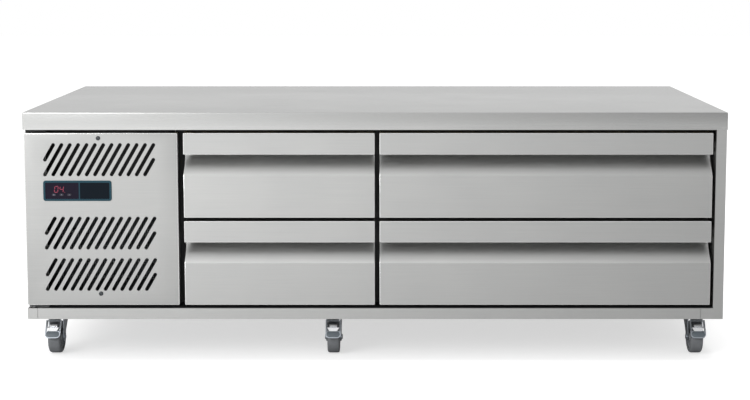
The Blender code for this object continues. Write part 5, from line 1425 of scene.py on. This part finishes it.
@dataclass
class CondensingUnit:
    """The compressor, the condenser's fins and tubes, and the fans behind the cover."""

    shell_radius: float = 0.078
    foot_height: float = 0.016
    seam_share: float = 0.60
    arm: float = 0.0815
    fin_pitch: float = 0.0042
    fin_sheet: float = 0.0003
    fin_margin: float = 0.006
    end_plate: float = 0.0012
    tube_rows: int = 8
    tube_radius: float = 0.0042
    tube_inset: float = 0.010
    blade_count: int = 5
    blade_root: float = 0.85
    blade_half: float = 0.0011
    # The blades' pitch in degrees at the root, and how much of it is lost towards the tip.
    pitches: Point = (34, 14)
    sweep: float = 0.18
    camber: float = 0.06

    def baffle(self) -> None:
        """A strip of black foam on the coil, up to the worktop, that keeps warm air from going round; its
        black is also painted shade where it shows through the cover's slots and the gap under the worktop.
        """
        low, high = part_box("condenser_coil")
        left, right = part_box("compressor_cover")[0].x + 0.0020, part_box("evaporator_housing")[1].x - 0.0005
        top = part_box("worktop")[0].z - 0.001
        shape = Shape()
        shape.box((left, low.y + 0.012, high.z + 0.0003), (right, low.y + 0.024, top))
        # Black: painted shade as well as a baffle.
        place_piece("air_baffle", shape, "cabinet", SEAL, (), 0.0015)

    def compressor(self) -> None:
        """A welded steel shell with a seam, on a pressed foot, with its terminal box and capped stub."""
        low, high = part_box("compressor")
        x, y = (low.x + high.x) / 2, (low.y + high.y) / 2
        radius, arm, top = self.shell_radius, self.arm, high.z
        foot = low.z + self.foot_height
        height = high.z - foot
        seam = foot + height * self.seam_share
        wall = [
            (0, top), (radius * 0.30, top - 0.0005), (radius * 0.58, top - 0.004),
            (radius * 0.80, top - 0.012), (radius * 0.93, top - 0.026), (radius * 0.975, seam + 0.010),
            (radius * 0.975, seam + 0.003), (radius, seam + 0.002), (radius, seam - 0.002),
            (radius * 0.965, seam - 0.003), (radius * 0.965, foot + height * 0.30),
            (radius * 0.93, foot + height * 0.14), (radius * 0.80, foot + 0.008),
            (radius * 0.60, foot + 0.002), (0, foot),
        ]
        shape = Shape()
        shape.lathe(wall, Axis.Z, (x, y, 0), 48)
        shape.box((x - arm, y - 0.040, foot - 0.003), (x + arm, y + 0.040, foot + 0.0005))
        for side in (-1, 1):
            leg = x + side * (arm - 0.0015)
            shape.box((leg - 0.0015, y - 0.040, low.z), (leg + 0.0015, y + 0.040, foot - 0.001))
        shape.box(
            (x - 0.028, y - radius - 0.016, foot + 0.045), (x + 0.028, y - radius * 0.9, foot + 0.105), 1
        )
        stub = [Vector((x + 0.045, y + 0.02, top - 0.02)), Vector((x + 0.047, y + 0.02, top - 0.001))]
        shape.tube(stub, 0.0032, 12, 2)
        place_piece("compressor_shell", shape, "cabinet", [ENAMEL, BLACK_ABS, COPPER], ["compressor"], 0.0008)

    def condenser(self, recipes: Recipes) -> None:
        """Rows of thin fins on copper tubes between two end plates.

        Args:
            recipes: The tree that copies the fins.
        """
        low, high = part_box("condenser_coil")
        fin = Shape()
        fin.box((-self.fin_sheet / 2, 0, 0), (self.fin_sheet / 2, high.y - low.y, high.z - low.z))
        span = high.x - low.x - 2 * self.fin_margin
        count = int(span / self.fin_pitch)
        values = {
            "Count": count + 1, "Step": Vector((span / count, 0, 0)),
            "Material": SHADE_DARK_FINS.material(Grain.ALONG_Z),
        }
        made = recipes.copies(recipes.row, fin.data("fin"), values)
        made.transform(Matrix.Translation((low.x + self.fin_margin, low.y, low.z)))
        shape = Shape()
        shape.add_mesh(made)
        for x in (low.x, high.x - self.end_plate):
            shape.box((x, low.y, low.z), (x + self.end_plate, high.y, high.z), 1)
        step = (high.z - low.z) / self.tube_rows
        for row in range(self.tube_rows):
            z = low.z + (row + 0.5) * step
            for y in (low.y + self.tube_inset, high.y - self.tube_inset):
                ends = [Vector((low.x + 0.0003, y, z)), Vector((high.x - 0.0003, y, z))]
                shape.tube(ends, self.tube_radius, 10)
        # The fins and tubes take the dark grey of painted shade.
        finishes = [(SHADE_DARK_FINS, Grain.ALONG_Z), GALVANISED]
        place_piece("condenser_fins", shape, "cabinet", finishes, ["condenser_coil"])

    def fan(
        self, recipes: Recipes, name: str, axis: Axis, hub: float, tip: float, chord: float, length: float
    ) -> None:
        """A moulded fan: a domed hub and swept, twisted blades.

        Args:
            recipes: The trees that copy the blades.
            name: The fan's node and body.
            axis: The fan's axis.
            hub: The hub's radius.
            tip: The blades' reach.
            chord: The blades' width.
            length: The hub's length.
        """
        low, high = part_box(name)
        centre = (low + high) / 2
        blade = Shape()
        loops = []
        for step in range(8):
            share = step / 7
            r = hub * self.blade_root + (tip - hub * self.blade_root) * share
            pitch = math.radians(self.pitches[0] - self.pitches[1] * share)
            wide = chord * (0.62 + 0.38 * math.sin(math.pi * min(1, 0.25 + 0.7 * share)))
            sweep = self.sweep * share * tip
            loop = []
            for side in (1, -1):
                for index in range(5):
                    across = side * (index / 4 - 0.5)
                    camber = self.camber * wide * (1 - 4 * across * across)
                    u = across * wide
                    thick = self.blade_half * (1 - 0.75 * (2 * across) ** 2) * side
                    x = u * math.cos(pitch) + sweep
                    z = u * math.sin(pitch) + camber + thick
                    loop.append(Vector((x, r, z)))
            loops.append(loop)
        blade.loft(loops)
        values = {"Count": self.blade_count, "Material": BLACK_ABS.material()}
        shape = Shape()
        shape.add_mesh(recipes.copies(recipes.ring, blade.data("blade", 1e-8, 60), values))
        half = length / 2
        dome = [
            (0.0045, half), (hub * 0.80, half), (hub * 0.96, half - 0.002), (hub, half - 0.005), (hub, -half),
            (0.0045, -half),
        ]
        shape.lathe(dome, Axis.Z, (0, 0, 0), 32, around=True)
        turn = Matrix.Rotation(math.pi / 2, 4, "X" if axis is Axis.Y else "Y")
        shape.move(Matrix.Translation(centre) @ turn)
        place_piece(f"{name}_rotor", shape.data(f"{name}_rotor", 1e-8, 50), name, BLACK_ABS, [name])

    def build(self, recipes: Recipes) -> None:
        """Makes the unit's pieces.

        Args:
            recipes: The trees that copy the fins and the blades.
        """
        self.compressor()
        self.condenser(recipes)
        self.baffle()
        self.fan(recipes, "condenser_fan", Axis.Y, 0.028, 0.117, 0.076, 0.024)
        self.fan(recipes, "evaporator_fan", Axis.X, 0.016, 0.0555, 0.033, 0.014)


@dataclass
class Sill:
    """A black rubber strip on top of the base rail, with a lip up against the body at the drawers: painted
    shade that keeps the gap under the fronts dark, and a stop to the view through to the floor.
    """

    sheet: float = 0.0014
    lip: float = 0.0100
    front_inset: float = 0.0040
    tray_gap: float = 0.0006
    shade_strip_depth: float = 0.0030
    bevel: float = 0.0003

    def build(self) -> None:
        """Runs the strip from side to side under the fronts."""
        rail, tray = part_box("base_frame"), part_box("unit_tray")
        frame_low, frame_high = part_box("seal_frame")
        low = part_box("insulation")[0].z - 0.0014
        front, back = rail[0].y + self.front_inset, frame_low.y - 0.0004
        section = [
            (front, low), (back, low), (back, low + self.lip), (back - 0.0010, low + self.lip),
            (back - 0.0028, low + 0.6 * self.lip), (back - 0.0032, low + self.sheet),
            (front, low + self.sheet),
        ]
        shape = Shape()
        shape.prism(section, Axis.X, tray[1].x + self.tray_gap, frame_high.x)
        flat = rectangle((front, low), (tray[0].y - self.tray_gap, low + self.sheet))
        shape.prism(flat, Axis.X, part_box("left_side_panel")[1].x + 0.001, tray[1].x + self.tray_gap)
        # Black: painted shade in the gap under the fronts.
        place_piece("sill_seal", shape, "cabinet", SEAL, (), self.bevel)
        self.flange_shade_strips()

    def flange_shade_strips(self) -> None:
        """Strips on the side panel's flange, above and below the machine cover: painted shade, black above and
        grey below, where the flange lies in shadow.
        """
        panel_low, panel_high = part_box("left_side_panel")
        cover_low, cover_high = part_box("compressor_cover")
        back = cover_high.y
        # Black above the cover and grey below: painted shade on the flange.
        gaps = (
            ("upper", cover_high.z + 0.0004, panel_high.z - 0.0004, SEAL),
            ("lower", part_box("base_frame")[1].z + 0.0003, cover_low.z - 0.0004, SHADE_GREY_STRIP),
        )
        for name, low, high, finish in gaps:
            shape = Shape()
            shape.box((panel_low.x + 0.001, back - self.shade_strip_depth, low), (panel_high.x + 0.002, back, high))
            place_piece(f"{name}_flange_tape", shape, "cabinet", finish, (), self.bevel)


@dataclass
class Back:
    """The rear grille's screws and the power inlet's pins."""

    inset: float = 0.010
    screw_size: Point = (0.0042, 0.0009)
    inlet: tuple[Point, Point] = ((0.060, 0.016), (0.045, 0.013))
    pin_depth: float = 0.017
    pin_length: float = 0.013
    pin_half: Point = (0.001, 0.002)
    pin_spots: tuple[Point, Point, Point] = ((-0.007, -0.002), (0.007, -0.002), (0.0, 0.004))

    def build(self, recipes: Recipes) -> None:
        """Makes the small pieces of the back.

        Args:
            recipes: The tree that copies the screws.
        """
        low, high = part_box("rear_grille")
        inset, (wide, tall) = self.inset, self.pin_half
        rows = [low.z + inset + index * (high.z - low.z - 2 * inset) / 3 for index in range(4)]
        spots = [(x, high.y, z) for x in (low.x + inset, high.x - inset) for z in rows]
        recipes.screws("grille_screws", "cabinet", spots, (0, 1, 0), *self.screw_size, ZINC, 16)
        x, z = low.x + self.inlet[0][0] + self.inlet[0][1], low.z + self.inlet[1][0] + self.inlet[1][1]
        start = high.y - self.pin_depth
        shape = Shape()
        for dx, dz in self.pin_spots:
            shape.box(
                (x + dx - wide, start, z + dz - tall), (x + dx + wide, start + self.pin_length, z + dz + tall)
            )
        place_piece("inlet_pins", shape, "cabinet", ZINC, (), 0.0003)


NODE_FINISHES = {
    "outer_shell": (STAINLESS, Grain.ALONG_X),
    "left_side_panel": (STAINLESS, Grain.ALONG_Y),
    "base_frame": (STAINLESS, Grain.ALONG_X),
    "insulation": (FOAM, Grain.EVEN),
    "seal_frame": (BLACK_ABS, Grain.EVEN),
    "unit_tray": (GALVANISED, Grain.EVEN),
    "fan_shroud": (GALVANISED, Grain.EVEN),
    "evaporator_housing": (BEAD_FOAM, Grain.EVEN),
    "evaporator_coil": (FINS, Grain.ALONG_Z),
    "suction_line": (COPPER, Grain.EVEN),
    **{f"{name}_key": (KEY_RUBBER, Grain.EVEN) for name in ("set", "down", "up")},
}


def dress_nodes() -> None:
    """Gives every frame node that stays in view its finish: satin steel, unless it is a slide or is named."""
    for name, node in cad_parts.items():
        usual = (ZINC if name.endswith("_slide") else SATIN_STEEL, Grain.EVEN)
        finish, grain = NODE_FINISHES.get(name, usual)
        material = finish.material(grain)
        if not node.material_slots:
            node.data.materials.append(material)
        for slot in node.material_slots:
            slot.material = material


@dataclass
class Studio:
    """The floor, the lamps, the surroundings and the camera."""

    floor_size: float = 14.0
    floor_glow: float = 0.60
    mirrored_glow: Point = (1.05, 0.10)
    far_glow: float = 0.62
    room_levels: Point = (1.26, 0.38)
    room_behind: float = 0.80
    # Where the floor's shades start and end in front of the object and beside it, as steel mirrors them.
    near_fade: Point = (-3.4, -2.4)
    far_fade: Point = (-3.6, -1.2)
    even_fade: Point = (-4.9, -3.9)
    even_share: float = 0.75
    shade_fade: Point = (-0.8, 1.1)
    glow_fade: Point = (-1.6, 1.6)
    # Where the room's levels start and end, as shares of a direction to the right and to the back.
    side_fade: Point = (-0.5, 0.5)
    back_fade: Point = (0.0, 0.5)
    lens: float = 70.89
    camera_place: tuple[float, float, float] = (0.0345, -3.6978, 0.9281)
    camera_tilt: float = math.radians(5.84)
    camera_shift: tuple[float, float] = (-0.0203, -0.12)

    def floor(self) -> None:
        """A pale floor that shows white, and keeps the object's shadow. To glossy rays alone it is painted
        darker to the right and glows less to the right and far off: a painted reflection on the steel.
        """
        shape = Shape()
        half = self.floor_size
        shape.box((-half, -half, -0.02), (half, half, -0.0002))
        piece = bpy.data.objects.new("floor", shape.data("floor"))
        bpy.context.scene.collection.objects.link(piece)
        made = bpy.data.materials.new("pale_floor")
        made.use_nodes = True
        tree = made.node_tree
        surface = tree.nodes["Principled BSDF"]
        surface.inputs["Roughness"].default_value = 0.9
        surface.inputs["Specular IOR Level"].default_value = 0.0
        surface.inputs["Emission Color"].default_value = (1, 1, 1, 1)
        rays = add_node(tree, "ShaderNodeLightPath").outputs
        place = add_node(tree, "ShaderNodeTexCoord").outputs["Object"]
        side, ahead, _ = add_node(tree, "ShaderNodeSeparateXYZ", {0: place}).outputs
        glossy = rays["Is Glossy Ray"]
        levels = dict(enumerate((ahead, *self.near_fade, 0.0, 1.0)))
        near = add_node(tree, "ShaderNodeMapRange", levels).outputs[0]
        near = add_node(tree, "ShaderNodeMath", {0: glossy, 1: near}, operation="MULTIPLY").outputs[0]
        # Painted shade for glossy rays: the floor's colour darkens to the right where the steel mirrors it.
        levels = dict(enumerate((side, *self.shade_fade)))
        shade = add_node(tree, "ShaderNodeMapRange", levels).outputs[0]
        shade = add_node(
            tree, "ShaderNodeMix",
            {"Factor": shade, 6: linear("#D8D8D8"), 7: linear("#A9A9A9")}, data_type="RGBA",
        ).outputs[2]
        colour = add_node(
            tree, "ShaderNodeMix", {"Factor": near, 6: linear("#C9C9C9"), 7: shade}, data_type="RGBA"
        ).outputs[2]
        tree.links.new(colour, surface.inputs["Base Color"])
        levels = dict(enumerate((side, *self.glow_fade, *self.mirrored_glow)))
        mirrored = add_node(tree, "ShaderNodeMapRange", levels).outputs[0]
        levels = dict(enumerate((ahead, *self.far_fade, 1.0, 0.0)))
        far = add_node(tree, "ShaderNodeMapRange", levels).outputs[0]
        mirrored = add_node(tree, "ShaderNodeMath", {0: mirrored, 1: far}, operation="MULTIPLY").outputs[0]
        levels = dict(enumerate((ahead, *self.even_fade, self.even_share, 0.0)))
        evened = add_node(tree, "ShaderNodeMapRange", levels).outputs[0]
        mirrored = add_node(
            tree, "ShaderNodeMix", {0: evened, 2: mirrored, 3: self.far_glow}, data_type="FLOAT"
        ).outputs[0]
        clear = {0: rays["Is Camera Ray"], 1: rays["Is Transmission Ray"]}
        direct = add_node(tree, "ShaderNodeMath", clear, operation="MAXIMUM").outputs[0]
        shown = {0: direct, 1: self.floor_glow}
        direct = add_node(tree, "ShaderNodeMath", shown, operation="MULTIPLY").outputs[0]
        both = {0: glossy, 1: mirrored, 2: direct}
        glow = add_node(tree, "ShaderNodeMath", both, operation="MULTIPLY_ADD").outputs[0]
        tree.links.new(glow, surface.inputs["Emission Strength"])
        piece.data.materials.append(made)

    def surroundings(self) -> None:
        """A white sky to the camera, and a soft grey room, brighter on the left, to everything else."""
        world = bpy.data.worlds.new("room")
        bpy.context.scene.world = world
        world.use_nodes = True
        tree = world.node_tree
        tree.nodes.clear()
        rays = add_node(tree, "ShaderNodeLightPath").outputs
        clear = {0: rays["Is Camera Ray"], 1: rays["Is Transmission Ray"]}
        clear = add_node(tree, "ShaderNodeMath", clear, operation="MAXIMUM").outputs[0]
        way = add_node(tree, "ShaderNodeTexCoord").outputs["Generated"]
        side, behind, _ = add_node(tree, "ShaderNodeSeparateXYZ", {0: way}).outputs
        levels = dict(enumerate((side, *self.side_fade, *self.room_levels)))
        level = add_node(tree, "ShaderNodeMapRange", levels).outputs[0]
        levels = dict(enumerate((behind, *self.back_fade, 0.0, 1.0)))
        turned = add_node(tree, "ShaderNodeMapRange", levels).outputs[0]
        mixed = {0: turned, 2: level, 3: self.room_behind}
        level = add_node(tree, "ShaderNodeMix", mixed, data_type="FLOAT").outputs[0]
        mixed = {0: clear, 2: level, 3: 1.0}
        strength = add_node(tree, "ShaderNodeMix", mixed, data_type="FLOAT").outputs[0]
        light = add_node(tree, "ShaderNodeBackground", {0: (1, 1, 1, 1), 1: strength})
        add_node(tree, "ShaderNodeOutputWorld", {0: light.outputs[0]})

    def lamp(
        self, name: str, place: Sequence[float], aim: Sequence[float], size: Point, power: float,
        mirrored: bool = True,
    ) -> None:
        """A soft rectangular lamp.

        Args:
            name: The lamp's name.
            place: Where it hangs.
            aim: The point that it faces.
            size: Its width and height.
            power: Its power in watts.
            mirrored: Whether polished steel shows it.
        """
        data = bpy.data.lights.new(name, "AREA")
        data.shape = "RECTANGLE"
        data.size, data.size_y = size
        data.energy = power
        lamp = bpy.data.objects.new(name, data)
        lamp.location = place
        lamp.rotation_euler = (Vector(aim) - Vector(place)).to_track_quat("-Z", "Y").to_euler()
        lamp.visible_glossy = mirrored
        bpy.context.scene.collection.objects.link(lamp)

    def camera(self) -> None:
        """The camera, square to the front and above it, tilted a little so that it needs less shift."""
        data = bpy.data.cameras.new("camera")
        data.lens = self.lens
        data.sensor_width = 36
        data.shift_x, data.shift_y = self.camera_shift
        camera = bpy.data.objects.new("camera", data)
        camera.location = self.camera_place
        camera.rotation_euler = (math.pi / 2 - self.camera_tilt, 0, 0)
        bpy.context.scene.collection.objects.link(camera)
        bpy.context.scene.camera = camera

    def build(self) -> None:
        """Sets up the studio."""
        self.floor()
        self.surroundings()
        self.lamp("key_lamp", (-2.6, -3.4, 2.2), (-0.3, -0.3, 0.35), (2.2, 1.6), 60)
        self.lamp("top_lamp", (0.0, 0.3, 3.2), (0.0, 0.0, 0.5), (3.0, 2.2), 85, False)
        self.lamp("front_lamp", (-0.3, -2.0, 2.6), (0.0, -0.3, 0.35), (3.2, 0.7), 4.5)
        self.camera()
        bpy.context.scene.view_settings.view_transform = "Standard"


def main() -> None:
    """Builds the chef base and its studio."""
    logging.basicConfig(level=logging.INFO, format="%(name)s %(message)s")
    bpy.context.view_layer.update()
    recipes = Recipes()
    dress_nodes()
    Worktop().build()
    MachineCover().build(recipes)
    Controller().build()
    for name in ("upper_left", "upper_right", "lower_left", "lower_right"):
        Drawer(name).build(recipes)
    for row in ("front", "rear"):
        for column in ("left", "middle", "right"):
            Castor(f"{row}_{column}", row == "front").build(recipes)
    CondensingUnit().build(recipes)
    Sill().build()
    Back().build(recipes)
    Studio().build()


if __name__ == "__main__":
    main()
